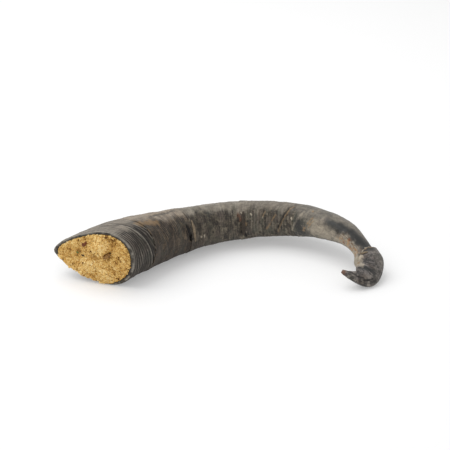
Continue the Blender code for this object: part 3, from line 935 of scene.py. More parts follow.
# The soft ridge along the upper side: its angles in degrees at distances along the horn, its height in mm
# and its width in radians.
UPPER_RIDGE_S = (60, 98, 140, 188)
UPPER_RIDGE_THETA = (95, 105, 124, 124)
UPPER_RIDGE_HEIGHT = 0.8
UPPER_RIDGE_WIDTH = 0.24
# Heights of the fine grain and the fibres, in mm.
GRAIN_HEIGHT = 0.07
FIBRE_HEIGHT = 0.05
# A surface rises to this share of the next edge's ridge, over about this distance in mm.
JOINT_SHARE = 0.7
JOINT_FADE = 3.0
# How far the growth rings near the base lean towards the upper flank, in mm.
RING_TILT = 9.0
# Spans between the rings of points that line the bore of a cone, and those that line the neck's dome.
BORE_SPANS = 12
DOME_SPANS = 10


@dataclass
class GrowthCone:
    """One cone of keratin, from its lower edge to where it runs under the next one.

    Args:
        node: the CAD node it replaces.
        slot: the record's material slot; not used.
        index: number of its lower edge.
        finish: its keratin.
        columns: points round a ring.
        spacing: distance between rings of points, in mm.
        ring_pitch: spacing of fine growth rings, in mm.
        ring_height: height of the fine rings, in mm.
        lines: how pale the crests of the fine rings are rubbed.
        swell: height of the broad swellings, in mm.
        scab: height of flaking scabs, in mm.
        dust_and_top_light: how grey the upper flank is, from dust and from painted light from above.
        sharpness: power that narrows the crests of the fine rings.
        bend: how far the fine rings wander, in pitches.
    """

    node: str
    slot: str
    index: int
    finish: KeratinFinish
    columns: int
    spacing: float
    ring_pitch: float
    ring_height: float
    lines: float = 0.3
    swell: float = 0.45
    scab: float = 0.12
    dust_and_top_light: float = 0.8
    sharpness: float = 2.2
    bend: float = 0.7

    def theta(self) -> np.ndarray:
        """The angles of a ring's points."""
        return np.arange(self.columns) * 2 * np.pi / self.columns

    def outer_s(self) -> np.ndarray:
        """Places of the outer surface: rows shared out evenly from this edge to the next one.

        Returns:
            s, shape (rows, columns).
        """
        theta = self.theta()
        low, high = HORN.edge(self.index, theta), HORN.edge(self.index + 1, theta) - HORN.gap
        rows = int(round(float(np.mean(high - low)) / self.spacing)) + 1
        return low + (high - low) * np.linspace(0, 1, rows)[:, None]

    def inner_rings(self) -> tuple:
        """Rings after the outer surface and before it: spigot and bore, then socket.

        Returns:
            Two lists of (s, factor), in order round the section of the wall.
        """
        theta = self.theta()
        above = HORN.edge(self.index + 1, theta)
        spigot = [(s, HORN.inset(s, HORN.skin + HORN.gap))
                  for s in (above - HORN.gap, above + HORN.overlap / 2, above + HORN.overlap)]
        low = HORN.edge(self.index, theta)
        if self.index:
            low = low + HORN.overlap + HORN.gap
        high = above + HORN.overlap
        lining = [high + (low - high) * i / BORE_SPANS for i in range(BORE_SPANS + 1)]
        bore = [(s, HORN.bore_factor(s)) for s in lining]
        return spigot + bore, self.socket()

    def socket(self) -> list:
        """The hollow that takes the younger cone, from its inner end to the lip.

        Returns:
            Rings (s, factor); none for the youngest cone.
        """
        if not self.index:
            return []
        edge = HORN.edge(self.index, self.theta())
        places = (edge + HORN.overlap + HORN.gap, edge + HORN.overlap / 2, edge)
        return [(s, HORN.inset(s, HORN.skin)) for s in places]

    def ring_place(self, s: np.ndarray, theta: np.ndarray) -> np.ndarray:
        """Which growth ring a point is on: s, moved on towards the upper flank near the base."""
        tilt = RING_TILT * ramp(s, 0, 20) * (1 - ramp(s, 30, 75))
        return s + tilt * np.sin(theta)

    def rings(self, s: np.ndarray, theta: np.ndarray, straight: np.ndarray) -> np.ndarray:
        """Fine growth rings: cosines of the ring place over the pitch, bent by noise and sharpened.

        Args:
            s, theta: the points, shape (rows, columns).
            straight: the same points on the uncurled horn.

        Returns:
            0 in the valleys to 1 on the strongest crests; every ring has its own strength, and each comes
            and goes round the horn.
        """
        phase = self.ring_place(s, theta) / self.ring_pitch + self.bend * RING_BEND.at(straight)
        phase = phase + 0.2 * RING_WOBBLE.at(straight)
        crest = (0.5 + 0.5 * np.cos(2 * np.pi * phase)) ** self.sharpness
        whole = np.round(phase)
        own = 0.5 + 0.5 * lattice_value(np.stack([whole, whole * 0, whole * 0], -1), RING_STRENGTH_SEED)
        fresh = ramp(RING_FRESH.at(straight), -0.5, 0.4)
        return crest * (0.35 + 0.65 * own) * (0.3 + 0.7 * fresh)

    def joint_rise(self, s: np.ndarray, theta: np.ndarray) -> np.ndarray:
        """A gentle rise to meet the next cone's edge, so that the joint reads as a soft growth ring.

        Args:
            s, theta: the points, shape (rows, columns).

        Returns:
            A share of that edge's ridge height, times exp(-distance to the edge / fade), in mm.
        """
        past = s - HORN.edge(self.index + 1, theta)
        return JOINT_SHARE * HORN.ridge_height(self.index + 1, theta) * np.exp(past / JOINT_FADE)

    def dust_and_top_light_mask(self, s: np.ndarray, theta: np.ndarray, straight: np.ndarray) -> np.ndarray:
        """Where the horn is grey with dust and painted light from above: the upper flank, in patches and in
        streaks round the horn.

        Args:
            s, theta: the points, shape (rows, columns).
            straight: the same points on the uncurled horn.

        Returns:
            Weights from 0 to 1: a smooth step down at a wandering edge, times patches, times streaks.
        """
        limit = np.radians(np.interp(s, DUST_AND_TOP_LIGHT_END_S, DUST_AND_TOP_LIGHT_END_THETA))
        wander = 0.35 * DUST_AND_TOP_LIGHT_EDGE.at(straight)
        upper = ramp(theta, 0.1, 0.7) * (1 - ramp(theta + wander, limit - 0.12, limit + 0.22))
        patches = ramp(DUST_AND_TOP_LIGHT_PATCHES.at(straight), -0.45, 0.25)
        streaks = ramp(DUST_AND_TOP_LIGHT_STREAKS.at(straight), -0.45, 0.1)
        return upper * (0.68 + 0.32 * patches) * (0.62 + 0.38 * streaks) * self.dust_and_top_light

    def relief(self, s: np.ndarray, theta: np.ndarray) -> tuple:
        """Height of the surface and its masks.

        Growth rings, broad lumps, scabs (plateaus of noise stretched round the horn), fine grain and fibres
        along it are added up, then a soft ridge along the upper side, and the marks on top.

        Args:
            s, theta: the points, shape (rows, columns).

        Returns:
            Height in mm and a dict of masks.
        """
        straight = HORN.straight(s, theta, np.ones_like(s))
        ring = self.rings(s, theta, straight)
        plateau = ramp(SCABS.at(straight), 0.02, 0.2)
        fine = FINE_GRAIN.at(straight)
        height = ring * self.ring_height + LUMPS.at(straight) * self.swell + plateau * self.scab
        height = height + GRAIN_HEIGHT * fine + FIBRE_HEIGHT * FIBRES.at(straight)
        crest = np.radians(np.interp(s, UPPER_RIDGE_S, UPPER_RIDGE_THETA))
        upper = UPPER_RIDGE_HEIGHT * np.exp(-((theta - crest) / UPPER_RIDGE_WIDTH) ** 2)
        height += upper * ramp(s, 40, 90) * (1 - ramp(s, 195, 230))
        height += self.joint_rise(s, theta)
        masks = {name: np.zeros_like(s) for name in MASKS}
        for feature in FEATURES:
            if feature.near(s):
                weight = feature.weight(s, theta, straight)
                name = feature.mark.value
                masks[name] = np.maximum(masks[name], weight * feature.strength)
                height = height + feature.height * weight
        masks["dust_and_top_light"] = self.dust_and_top_light_mask(s, theta, straight)
        # Painted shade: the belly side and lower flank of the base, turned from the light above, are darker
        # than the rest, most on the belly.
        side = ramp(theta, 2.0, 2.7) * (1 - ramp(theta, 5.2, 5.9)) * (1 - ramp(s, 70, 130))
        masks["side_shade_and_dark_blade"] = side * (0.4 + 0.35 * ramp(theta, 3.0, 4.0))
        masks["line"] = ring * self.lines
        # Painted shade in the ring valleys and off the raised scabs, paler on the crests, with the fine
        # grain's own tone.
        masks["shade_and_tone"] = np.clip(1.2 * (ring - 0.4) * self.lines + (plateau - 0.5) * 0.6 + 0.8 * fine, -1, 1)
        self.mark_more(s, theta, straight, masks)
        return height, masks

    def mark_more(self, s: np.ndarray, theta: np.ndarray, straight: np.ndarray, masks: dict) -> None:
        """Painted shade under the next cone's edge: the hollow mask rises in patches over the last 0.8 mm
        before it.

        Args:
            s, theta: the points, shape (rows, columns).
            straight: the same points on the uncurled horn.
            masks: the masks so far, which are changed in place.
        """
        above = HORN.edge(self.index + 1, theta) - s
        patches = ramp(JOINT_SHADE.at(straight), -0.25, 0.25)
        masks["hollow"] = np.maximum(masks["hollow"], 0.4 * patches * (1 - ramp(above, 0.0, 0.8)))

    def grid(self) -> RingGrid:
        """The whole closed surface of the cone.

        Returns:
            The outer surface with its ridge, which fades as exp(-distance from the edge / fade), its
            relief and its marks, and the plain inner rings.
        """
        theta = self.theta()
        s = self.outer_s()
        angle = np.broadcast_to(theta, s.shape)
        from_edge = s - HORN.edge(self.index, angle)
        ridge = HORN.ridge_height(self.index, angle) * np.exp(-from_edge / HORN.ridge_fade)
        factor = HORN.inset(s, -ridge)
        height, masks = self.relief(s, angle)
        after, before = self.inner_rings()
        return assemble(theta, [(s, factor, height, masks)], before, after, self.poles())

    def poles(self) -> tuple | None:
        """The points that close the surface; a cone open at both ends has none."""
        return None

    def dress(self) -> bpy.types.Object:
        """Builds the cone, gives it its finish, and puts it in the CAD node's place.

        Returns:
            The cone's object.
        """
        piece = self.grid().build(self.node + "_surface")
        piece.data.materials.append(self.finish.build())
        return take_place(piece, self.node)


# Painted shade: how dark the surfaces inside the joints and the bore are painted.
INNER_DARKNESS = 0.6


def assemble(theta: np.ndarray, shown: list, before: list, after: list, poles: tuple | None) -> RingGrid:
    """Joins shown rows and plain inner rings into one closed surface.

    Args:
        theta: the angles of the columns.
        shown: groups of rows (s, factor, height, masks), which get relief.
        before, after: plain rings (s, factor) on either side of them.
        poles: the closing points, or None.

    Returns:
        The surface. Relief is added along the normal of the plain shape, and rubbed flat where it would
        go under the floor.
    """
    plain_before = [(s[None], factor[None]) for s, factor in before]
    plain_after = [(s[None], factor[None]) for s, factor in after]
    blocks = plain_before + [(s, factor) for s, factor, _, _ in shown] + plain_after
    s = np.concatenate([np.broadcast_to(block[0], (len(block[0]), len(theta))) for block in blocks])
    factor = np.concatenate([np.broadcast_to(block[1], (len(block[0]), len(theta))) for block in blocks])
    angle = np.broadcast_to(theta, s.shape)
    grid = RingGrid(HORN.point(s, angle, factor), {}, poles)
    height = np.zeros(s.shape)
    masks = {name: np.zeros(s.shape) for name in MASKS}
    # Painted shade on the plain inner surfaces.
    masks["hollow"] += INNER_DARKNESS
    row = len(before)
    for shown_s, _, shown_height, shown_masks in shown:
        span = slice(row, row + len(shown_s))
        height[span] = shown_height
        for name in masks:
            masks[name][span] = shown_masks[name]
        row += len(shown_s)
    normal = grid.normals()
    outwards = grid.place - HORN.point(s, angle, factor * 0)
    middle = slice(len(before), row)
    if np.sum(normal[middle] * outwards[middle]) < 0:
        normal = -normal
    grid.place = grid.place + normal * height[..., None]
    grid.place[..., 2] = np.maximum(grid.place[..., 2], REST_HEIGHT)
    grid.values = {**masks, "straight": HORN.straight(s, angle, factor)}
    return grid


def take_place(piece: bpy.types.Object, node: str) -> bpy.types.Object:
    """Puts a finished piece in a CAD node's place.

    Args:
        piece: the finished object.
        node: the CAD node it stands for.

    Returns:
        The piece.
    """
    low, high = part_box(node)
    points = np.array([corner for corner in piece.bound_box])
    off = np.abs(np.concatenate([points.min(0) - np.array(low), points.max(0) - np.array(high)])).max()
    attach(piece, BODY)
    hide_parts(node)
    LOG.info("%-26s %7d faces, box within %.2f mm of %s", piece.name, len(piece.data.polygons),
             off / METRES, node)
    return piece


@dataclass
class MouthCone(GrowthCone):
    """The youngest cone: the sawn rim, the finely ringed collar, and the spigot under the next one.

    Args:
        rim_rows: rings of points from the bore to the rim's outer corner.
        last_ring: ring place of the collar's last, strongest ring, in mm.
        groove: ring place of the groove behind it, in mm.
        saw_pitch: distance between saw marks, in mm.
    """

    rim_rows: int = 7
    last_ring: float = 24.6
    groove: float = 26.8
    saw_pitch: float = 1.1

    def mark_more(self, s: np.ndarray, theta: np.ndarray, straight: np.ndarray, masks: dict) -> None:
        """Adds the strong pale line, and painted shade in the groove above it, which end the finely ringed
        collar.

        Args:
            s, theta: the points, shape (rows, columns).
            straight: the same points on the uncurled horn.
            masks: the masks so far, which are changed in place.
        """
        place = self.ring_place(s, theta)
        wander = 0.4 * COLLAR_WANDER.at(straight)
        side = self.ended(theta)
        pale = 1.1 * side * np.exp(-((place + wander - self.last_ring) / 0.6) ** 2)
        # Painted shade in the groove behind the last ring.
        dark = 0.85 * side * np.exp(-((place + wander - self.groove) / 1.2) ** 2)
        masks["line"] = np.maximum(masks["line"], pale)
        masks["hollow"] = np.maximum(masks["hollow"], dark)
        masks["dust_and_top_light"] = masks["dust_and_top_light"] * (1 - masks["hollow"])

    def relief(self, s: np.ndarray, theta: np.ndarray) -> tuple:
        """Adds the last ring of the collar, a bell 0.4 mm high, and the groove behind it, 0.5 mm deep.

        Args:
            s, theta: the points, shape (rows, columns).

        Returns:
            Height in mm and a dict of masks.
        """
        height, masks = super().relief(s, theta)
        place = self.ring_place(s, theta)
        crest = 0.4 * np.exp(-((place - self.last_ring) / 0.9) ** 2)
        crest = crest - 0.5 * np.exp(-((place - self.groove) / 1.1) ** 2)
        return height + crest * self.ended(theta), masks

    @staticmethod
    def ended(theta: np.ndarray) -> np.ndarray:
        """Where the collar ends in a strong ring: all round, but fading before the keel on both sides."""
        return between(theta, (60, 105), (290, 345))

    def grid(self) -> RingGrid:
        """The closed surface: bore, sawn rim with saw marks, then the ringed outside.

        Returns:
            The surface. The saw marks are cosines of the height over the floor, and the rim's outer corner
            is worn down by up to 0.5 mm.
        """
        theta = self.theta()
        s = self.outer_s()
        angle = np.broadcast_to(theta, s.shape)
        height, masks = self.relief(s, angle)
        share = np.linspace(0, 1, self.rim_rows)[:-1, None]
        rim_s = np.zeros((self.rim_rows - 1, self.columns))
        bore = HORN.bore_factor(rim_s)
        rim_factor = bore + (1 - bore) * share
        rim_angle = np.broadcast_to(theta, rim_s.shape)
        rim_place = HORN.point(rim_s, rim_angle, rim_factor)
        saw_marks = 0.05 * np.cos(2 * np.pi * rim_place[..., 2] / self.saw_pitch)
        saw_marks = saw_marks + 0.15 * RIM_GRAIN.at(rim_place)
        rim_height = saw_marks - 0.5 * ramp(share, 0.5, 1.0) ** 2
        height = height - 0.45 * (1 - ramp(s, 0.0, 0.9))
        rim_masks = {name: np.zeros_like(rim_s) for name in MASKS}
        rim_masks["shade_and_tone"] = 0.4 * RIM_SHADE.at(rim_place)
        # Painted shade along the rim's inner edge, beside the bore.
        rim_masks["hollow"] = 0.25 * (1 - ramp(share, 0.0, 0.3))
        # Painted highlight on the outer part of the sawn rim, in patches.
        rim_masks["line"] = 0.8 * ramp(share, 0.1, 0.8) * ramp(RIM_HIGHLIGHT.at(rim_place), -0.3, 0.3)
        # Painted highlight along the rim's outer corner.
        masks["line"] = np.maximum(masks["line"], 0.7 * (1 - ramp(s, 0.6, 1.4)))
        after, _ = self.inner_rings()
        spigot, bore_back = after[:3], after[3:]
        shown = [(rim_s, rim_factor, rim_height, rim_masks), (s, np.ones_like(s), height, masks)]
        return assemble(theta, shown, bore_back, spigot, None)


BROKEN_PATCH = Feature(Mark.FIBRE, ((234.0, 166), (240.5, 158), (247.0, 154)), 6.5, ragged=0.5)


@dataclass
class NeckCone(GrowthCone):
    """The last hollow cone: the bore closes inside it, and its solid core runs up into the tip cap."""

    def inner_rings(self) -> tuple:
        """Core after the outer surface; bore dome and socket before it.

        Returns:
            Two lists of (s, factor).
        """
        theta = self.theta()
        seam = HORN.edge(self.index + 1, theta)
        core = [(s, HORN.inset(s, HORN.skin + HORN.core_gap))
                for s in (seam - HORN.core_gap, seam + HORN.core_grip / 2, seam + HORN.core_grip)]
        low = HORN.edge(self.index, theta) + HORN.overlap + HORN.gap
        top = np.full(self.columns, HORN.bore_length)
        dome = [top + (low - top) * (i / DOME_SPANS) for i in range(1, DOME_SPANS + 1)]
        return core, [(s, HORN.bore_factor(s)) for s in dome] + self.socket()

    def poles(self) -> tuple:
        """The top of the bore and the end of the core."""
        end = float(np.mean(HORN.edge(self.index + 1, self.theta()) + HORN.core_grip))
        return centre_point(HORN.bore_length), centre_point(end)

    def mark_more(self, s: np.ndarray, theta: np.ndarray, straight: np.ndarray, masks: dict) -> None:
        """Adds the pale frayed fibres along the seam.

        Args:
            s, theta: the points, shape (rows, columns).
            straight: the same points on the uncurled horn.
            masks: the masks so far, which are changed in place.
        """
        masks["pale"] = masks["pale"] * (1 - 0.85 * masks["dark"])
        short = HORN.edge(self.index + 1, theta) - s
        band = 1 - ramp(short + SEAM_FRAY.at(straight), 0.6, 1.5)
        side = between(theta, (40, 60), (200, 230))
        masks["pale"] = np.maximum(masks["pale"], band * side)
        strip = 1 - ramp(np.abs(theta - np.radians(185)), 0.5, 0.8)
        masks["pale"] = np.maximum(masks["pale"], 0.8 * strip * ramp(s, 240, 250))
        self.mark_break(s, theta, straight, masks)

    def mark_break(self, s: np.ndarray, theta: np.ndarray, straight: np.ndarray, masks: dict) -> None:
        """The broken patch above the seam: a network of orange-brown fibres round small pale cells.

        Fibres run where a noise of nearly one cell to the millimetre passes through zero.

        Args:
            s, theta: the points, shape (rows, columns).
            straight: the same points on the uncurled horn.
            masks: the masks so far, which are changed in place.
        """
        area = BROKEN_PATCH.weight(s, theta, straight)
        cells = np.abs(BREAK_CELLS.at(straight))
        net = area * (1 - ramp(cells, 0.12, 0.3))
        masks["pale"] = np.maximum(masks["pale"], 0.75 * area * ramp(cells, 0.15, 0.35))
        masks["amber"] = 0.75 * net * (1 - 0.8 * masks["dark"])
        masks["rust"] = np.maximum(masks["rust"], 0.7 * net * ramp(BREAK_RUST.at(straight), 0.1, 0.5))

    def joint_rise(self, s: np.ndarray, theta: np.ndarray) -> np.ndarray:
        """None: the cap stands proud of the neck."""
        return np.zeros_like(s)


@dataclass
class TipCap(GrowthCone):
    """The oldest keratin: a dark cap over the core, hooked back on itself and solid to the tip."""

    def outer_s(self) -> np.ndarray:
        """Places of the outer surface, from the seam to just short of the tip.

        Returns:
            s, shape (rows, columns).
        """
        low = HORN.edge(self.index, self.theta())
        high = np.full(self.columns, HORN.length - 0.05)
        rows = int(round(float(np.mean(high - low)) / self.spacing)) + 1
        return low + (high - low) * np.linspace(0, 1, rows)[:, None]

    def inner_rings(self) -> tuple:
        """Socket before the outer surface, and nothing after it.

        Returns:
            Two lists of (s, factor), the first one empty.
        """
        edge = HORN.edge(self.index, self.theta())
        places = (edge + HORN.core_grip + HORN.core_end_gap, edge + HORN.core_grip / 2, edge)
        return [], [(s, HORN.inset(s, HORN.skin)) for s in places]

    def poles(self) -> tuple:
        """The inner end of the socket and the very tip."""
        end = float(np.mean(HORN.edge(self.index, self.theta())) + HORN.core_grip + HORN.core_end_gap)
        return centre_point(end), centre_point(HORN.length)

    def mark_more(self, s: np.ndarray, theta: np.ndarray, straight: np.ndarray, masks: dict) -> None:
        """Pale fibres down the inside of the hook, a tan broken lip, and a rusty tip.

        Args:
            s, theta: the points, shape (rows, columns).
            straight: the same points on the uncurled horn.
            masks: the masks so far, which are changed in place.
        """
        below = s - HORN.edge(self.index, theta)
        fray = CAP_FRAY.at(straight)
        masks["tan"] = np.maximum(masks["tan"], 0.5 * (1 - ramp(below + fray, 0.1, 0.9)))
        inside = 1 - ramp(np.abs(theta - np.radians(180)) + 0.3 * fray, 0.75, 1.0)
        masks["pale"] = np.maximum(masks["pale"], 0.85 * inside * (1 - ramp(s, 266, 274)))
        blade = ramp(s - 16 * ramp(theta, np.radians(20), np.radians(110)), 266, 270)
        specks = ramp(BLADE_SPECKS.at(straight), 0.05, 0.35)
        masks["side_shade_and_dark_blade"] = np.maximum(masks["side_shade_and_dark_blade"], blade * 0.35 * (1 - specks))
        masks["pale"] = np.maximum(masks["pale"], blade * 0.2 * specks)
        masks["rust"] = np.maximum(masks["rust"], 0.5 * ramp(s, 289, 292))
        masks["dust_and_top_light"] = masks["dust_and_top_light"] * (1 - blade)

    def joint_rise(self, s: np.ndarray, theta: np.ndarray) -> np.ndarray:
        """None: nothing grows over the cap."""
        return np.zeros_like(s)


def centre_point(s: float) -> np.ndarray:
    """The point of the centreline at s."""
    return HORN.point(np.array([s]), np.zeros(1), np.zeros(1))[0]


# ---------------------------------------------------------------- filling

GOLDEN = (1 + 5 ** 0.5) / 2
# An icosahedron whose corners are about one unit from its middle.
CRUMB_CORNERS = np.array([(-1, GOLDEN, 0), (1, GOLDEN, 0), (-1, -GOLDEN, 0), (1, -GOLDEN, 0),
                          (0, -1, GOLDEN), (0, 1, GOLDEN), (0, -1, -GOLDEN), (0, 1, -GOLDEN),
                          (GOLDEN, 0, -1), (GOLDEN, 0, 1), (-GOLDEN, 0, -1), (-GOLDEN, 0, 1)]) / 1.9
CRUMB_FACES = np.array([(0, 11, 5), (0, 5, 1), (0, 1, 7), (0, 7, 10), (0, 10, 11), (1, 5, 9), (5, 11, 4),
                        (11, 10, 2), (10, 7, 6), (7, 1, 8), (3, 9, 4), (3, 4, 2), (3, 2, 6), (3, 6, 8),
                        (3, 8, 9), (4, 9, 5), (2, 4, 11), (6, 2, 10), (8, 6, 7), (9, 8, 1)])
# The larger this power, the more of the crumbs are small.
CRUMB_FINENESS = 2.4


@dataclass(frozen=True)
class Mound:
    """A lump or hollow of the filling's face.

    Args:
        keel, flank: its middle, in shares of the mouth's half depth and half width.
        height: of the lump in mm, negative for a hollow.
        radius: where it has fallen to a third, in mm.
    """

    keel: float
    flank: float
    height: float
    radius: float


@dataclass
class Filling:
    """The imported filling: a lumpy face just inside the rim, made of crumbs, on a plug that fits the bore.

    Args:
        depth: how far the plug reaches into the bore, in mm.
        recess: how far the face lies under the plane of the rim, in mm.
        columns: points round a ring of the plug.
        face_rows, side_rows: rings of points on its face and on its side.
        face_end: share of the bore that the face's rings reach.
        mounds: lumps and hollows that the CAD face has too.
        clods: smaller ones, which are only here.
        crumbs: how many there are.
        crumb_size: mean radius of the smallest and of the largest, before they are jittered, in mm.
        specks: dark specks of husk, each its place in shares of the half sizes and its radius in mm.
        spill_angle: where the crumb is heaped against the rim, in degrees.
        seed: of the crumbs.
    """

    depth: float = 120.0
    recess: float = 0.8
    columns: int = 360
    face_rows: int = 110
    side_rows: int = 24
    face_end: float = 0.985
    mounds: tuple = (
        Mound(-0.16, 0.38, 2.6, 8.0),
        Mound(0.10, -0.44, 2.6, 7.0),
        Mound(-0.32, -0.32, 2.0, 6.0),
        Mound(-0.66, 0.05, 1.2, 7.0),
        Mound(0.56, -0.10, -1.4, 8.0),
    )
    clods: tuple = (
        Mound(-0.24, 0.44, 2.9, 5.5),
        Mound(0.12, -0.28, 2.8, 4.6),
        Mound(-0.24, -0.46, 1.9, 4.0),
        Mound(-0.46, 0.58, -2.4, 3.2),
        Mound(-0.42, 0.30, -2.4, 2.8),
        Mound(-0.33, 0.04, -2.4, 2.8),
        Mound(0.02, 0.04, -2.0, 3.0),
        Mound(-0.34, 0.82, -2.8, 2.4),
        Mound(-0.50, -0.42, -1.3, 2.4),
        Mound(0.34, 0.22, -1.6, 4.5),
        Mound(0.66, 0.0, -1.0, 7.0),
    )
    crumbs: int = 9400
    crumb_size: tuple = (0.30, 1.10)
    specks: tuple = ((-0.33, 0.08, 2.6), (-0.38, 0.16, 1.6), (-0.49, -0.26, 1.1), (-0.15, -0.48, 1.1),
                     (-0.34, 0.78, 2.0), (0.46, -0.12, 0.9))
    spill_angle: float = 295.0
    seed: int = 7

    def height(self, to_keel: np.ndarray, to_flank: np.ndarray) -> np.ndarray:
        """Height of the face above the plane of the rim: the recess plus a bell for each mound."""
        return self.bells(self.mounds, to_keel, to_flank) - self.recess

    @staticmethod
    def bells(mounds: tuple, to_keel: np.ndarray, to_flank: np.ndarray) -> np.ndarray:
        """Sum of the mounds, each its height times exp(-(distance / radius)^2).

        Args:
            mounds: the lumps and hollows.
            to_keel, to_flank: places in shares of the half sizes.

        Returns:
            Heights in mm.
        """
        half = HORN.mouth_depth / 2
        total = np.zeros(np.shape(to_keel))
        for mound in mounds:
            away_keel = (to_keel - mound.keel) * half
            away_flank = (to_flank - mound.flank) * half * STATIONS[0].flatness
            total = total + mound.height * np.exp(-(away_keel ** 2 + away_flank ** 2) / mound.radius ** 2)
        return total

    def outwards(self) -> np.ndarray:
        """The normal of the sawn rim, pointing out of the mouth."""
        lean = np.radians(STATIONS[0].lean)
        return -HORN.forward[0] * np.cos(lean) - HORN.keel[0] * np.sin(lean)

    def face_point(self, to_keel: np.ndarray, to_flank: np.ndarray, lift: np.ndarray) -> np.ndarray:
        """A point of the face, lifted off it.

        Args:
            to_keel, to_flank: places in shares of the half sizes.
            lift: height over the face, in mm.

        Returns:
            Points in millimetres, shape (..., 3).
        """
        theta, factor = np.arctan2(to_flank, to_keel), np.hypot(to_keel, to_flank)
        on_plane = HORN.point(np.zeros_like(factor), theta, factor)
        return on_plane + self.outwards() * (self.height(to_keel, to_flank) + lift)[..., None]

    def roughness(self, to_keel: np.ndarray, to_flank: np.ndarray, place: np.ndarray) -> np.ndarray:
        """Clods with cracks between them, and the crumb on top.

        Args:
            to_keel, to_flank: places in shares of the half sizes.
            place: the same places in millimetres, shape (..., 3).

        Returns:
            Heights in mm. Cracks run where a slow noise passes through zero.
        """
        clods = 1.2 * CLODS.at(place) + self.bells(self.clods, to_keel, to_flank)
        cracks = 0.7 * (1 - ramp(np.abs(CLOD_CRACKS.at(place)), 0.0, 0.14))
        return clods - cracks + 0.3 * CRUMB_GRAIN.at(place)

    @staticmethod
    def lit(lift: np.ndarray) -> np.ndarray:
        """Painted light and shade: how much paler the crumb is on the clods and browner in the hollows."""
        return 0.26 * np.tanh(lift / 1.8)

    def spill(self, to_keel: np.ndarray, to_flank: np.ndarray) -> np.ndarray:
        """How far the crumb is heaped up against the lower rim, which it hides there."""
        toward = np.cos(np.arctan2(to_flank, to_keel) - np.radians(self.spill_angle))
        return 1.6 * ramp(np.hypot(to_keel, to_flank), 0.6, 0.92) * ramp(toward, 0.5, 0.9)

    def plug(self) -> bpy.types.Object:
        """The plug: face rows from the middle out, then the side along the bore.

        Returns:
            The plug's object.
        """
        theta = np.arange(self.columns) * 2 * np.pi / self.columns
        start = 2 * self.recess
        rim = HORN.bore_factor(np.full(self.columns, start), HORN.gap)
        share = np.linspace(0.01, self.face_end, self.face_rows)[:, None]
        to_keel, to_flank = rim * share * np.cos(theta), rim * share * np.sin(theta)
        face = self.face_point(to_keel, to_flank, np.zeros_like(to_keel))
        fade = 1 - ramp(share, 0.93, self.face_end)
        lift = self.roughness(to_keel, to_flank, face) * fade + self.spill(to_keel, to_flank)
        face = face + self.outwards() * lift[..., None]
        places, angle = np.meshgrid(np.linspace(start, self.depth, self.side_rows), theta, indexing="ij")
        side = HORN.point(places, angle, HORN.bore_factor(places, HORN.gap))
        place = np.concatenate([face, side])
        poles = (face[0].mean(0), centre_point(self.depth))
        shade = 0.15 * PLUG_SHADE.at(place) - 0.1
        # Painted light and shade on the face: paler on the clods, browner in the hollows.
        shade[:len(lift)] += self.lit(lift)
        return RingGrid(place, {"shade": shade}, poles).build("filling_plug_surface")

    def crumb_heap(self) -> bpy.types.Object:
        """Crumbs strewn over the face: small jittered solids of twenty triangles, each with its own shade.

        Returns:
            The heap's object.
        """
        draw = np.random.default_rng(self.seed)
        angle = draw.uniform(0, 2 * np.pi, self.crumbs)
        share = np.sqrt(draw.uniform(0, 1.0, self.crumbs))
        rim = float(HORN.bore_factor(np.array([2 * self.recess]), HORN.gap)[0])
        # The heap reaches the bore all round, and over the rim where it spills.
        rim = rim + 0.07 * ramp(np.cos(angle - np.radians(self.spill_angle)), 0.45, 0.8)
        to_keel, to_flank = rim * share * np.cos(angle), rim * share * np.sin(angle)
        ground = self.face_point(to_keel, to_flank, np.zeros(self.crumbs))
        clods = self.roughness(to_keel, to_flank, ground)
        small, large = self.crumb_size
        size = small + (large - small) * draw.uniform(0, 1, self.crumbs) ** CRUMB_FINENESS
        lift = clods + draw.uniform(-0.3, 0.4, self.crumbs) * size
        # Crumbs beside the rim lie at least 0.3 mm over the face.
        lift = np.maximum(lift + self.spill(to_keel, to_flank), np.where(share > 0.93, 0.3, -np.inf))
        centre = ground + self.outwards() * lift[:, None]
        turn = random_turns(draw, self.crumbs)
        stretch = draw.uniform(0.55, 1.25, (self.crumbs, 1, 3))
        jitter = draw.uniform(0.75, 1.25, (self.crumbs, len(CRUMB_CORNERS), 1))
        shape = np.einsum("nij,nkj->nki", turn, CRUMB_CORNERS[None] * stretch * jitter)
        points = centre[:, None] + shape * size[:, None, None]
        first = np.arange(self.crumbs)[:, None] * len(CRUMB_CORNERS)
        loops = (CRUMB_FACES.reshape(1, -1) + first).reshape(-1)
        sizes = np.full(self.crumbs * len(CRUMB_FACES), 3)
        heap = mesh_object("filling_crumbs", points.reshape(-1, 3) * METRES, loops, sizes)
        own = draw.normal(0.02, 0.15, self.crumbs) - 0.75 * (draw.uniform(0, 1, self.crumbs) > 0.985)
        own = own - 0.7 * self.speckled(to_keel, to_flank) * draw.uniform(0, 1, self.crumbs)
        # Painted light and shade: paler on the clods, browner in the hollows.
        own = own + self.lit(clods)
        write_attribute(heap.data, "shade", np.repeat(own, len(CRUMB_CORNERS))[:, None])
        return heap

    def speckled(self, to_keel: np.ndarray, to_flank: np.ndarray) -> np.ndarray:
        """Where the dark specks of husk are.

        Args:
            to_keel, to_flank: places in shares of the half sizes.

        Returns:
            1 near a speck's middle, falling smoothly to 0 at its radius.
        """
        half = HORN.mouth_depth / 2
        weight = np.zeros(to_keel.shape)
        for keel, flank, radius in self.specks:
            away = np.hypot((to_keel - keel) * half, (to_flank - flank) * half * STATIONS[0].flatness)
            weight = np.maximum(weight, 1 - ramp(away, 0.4 * radius, radius))
        return weight

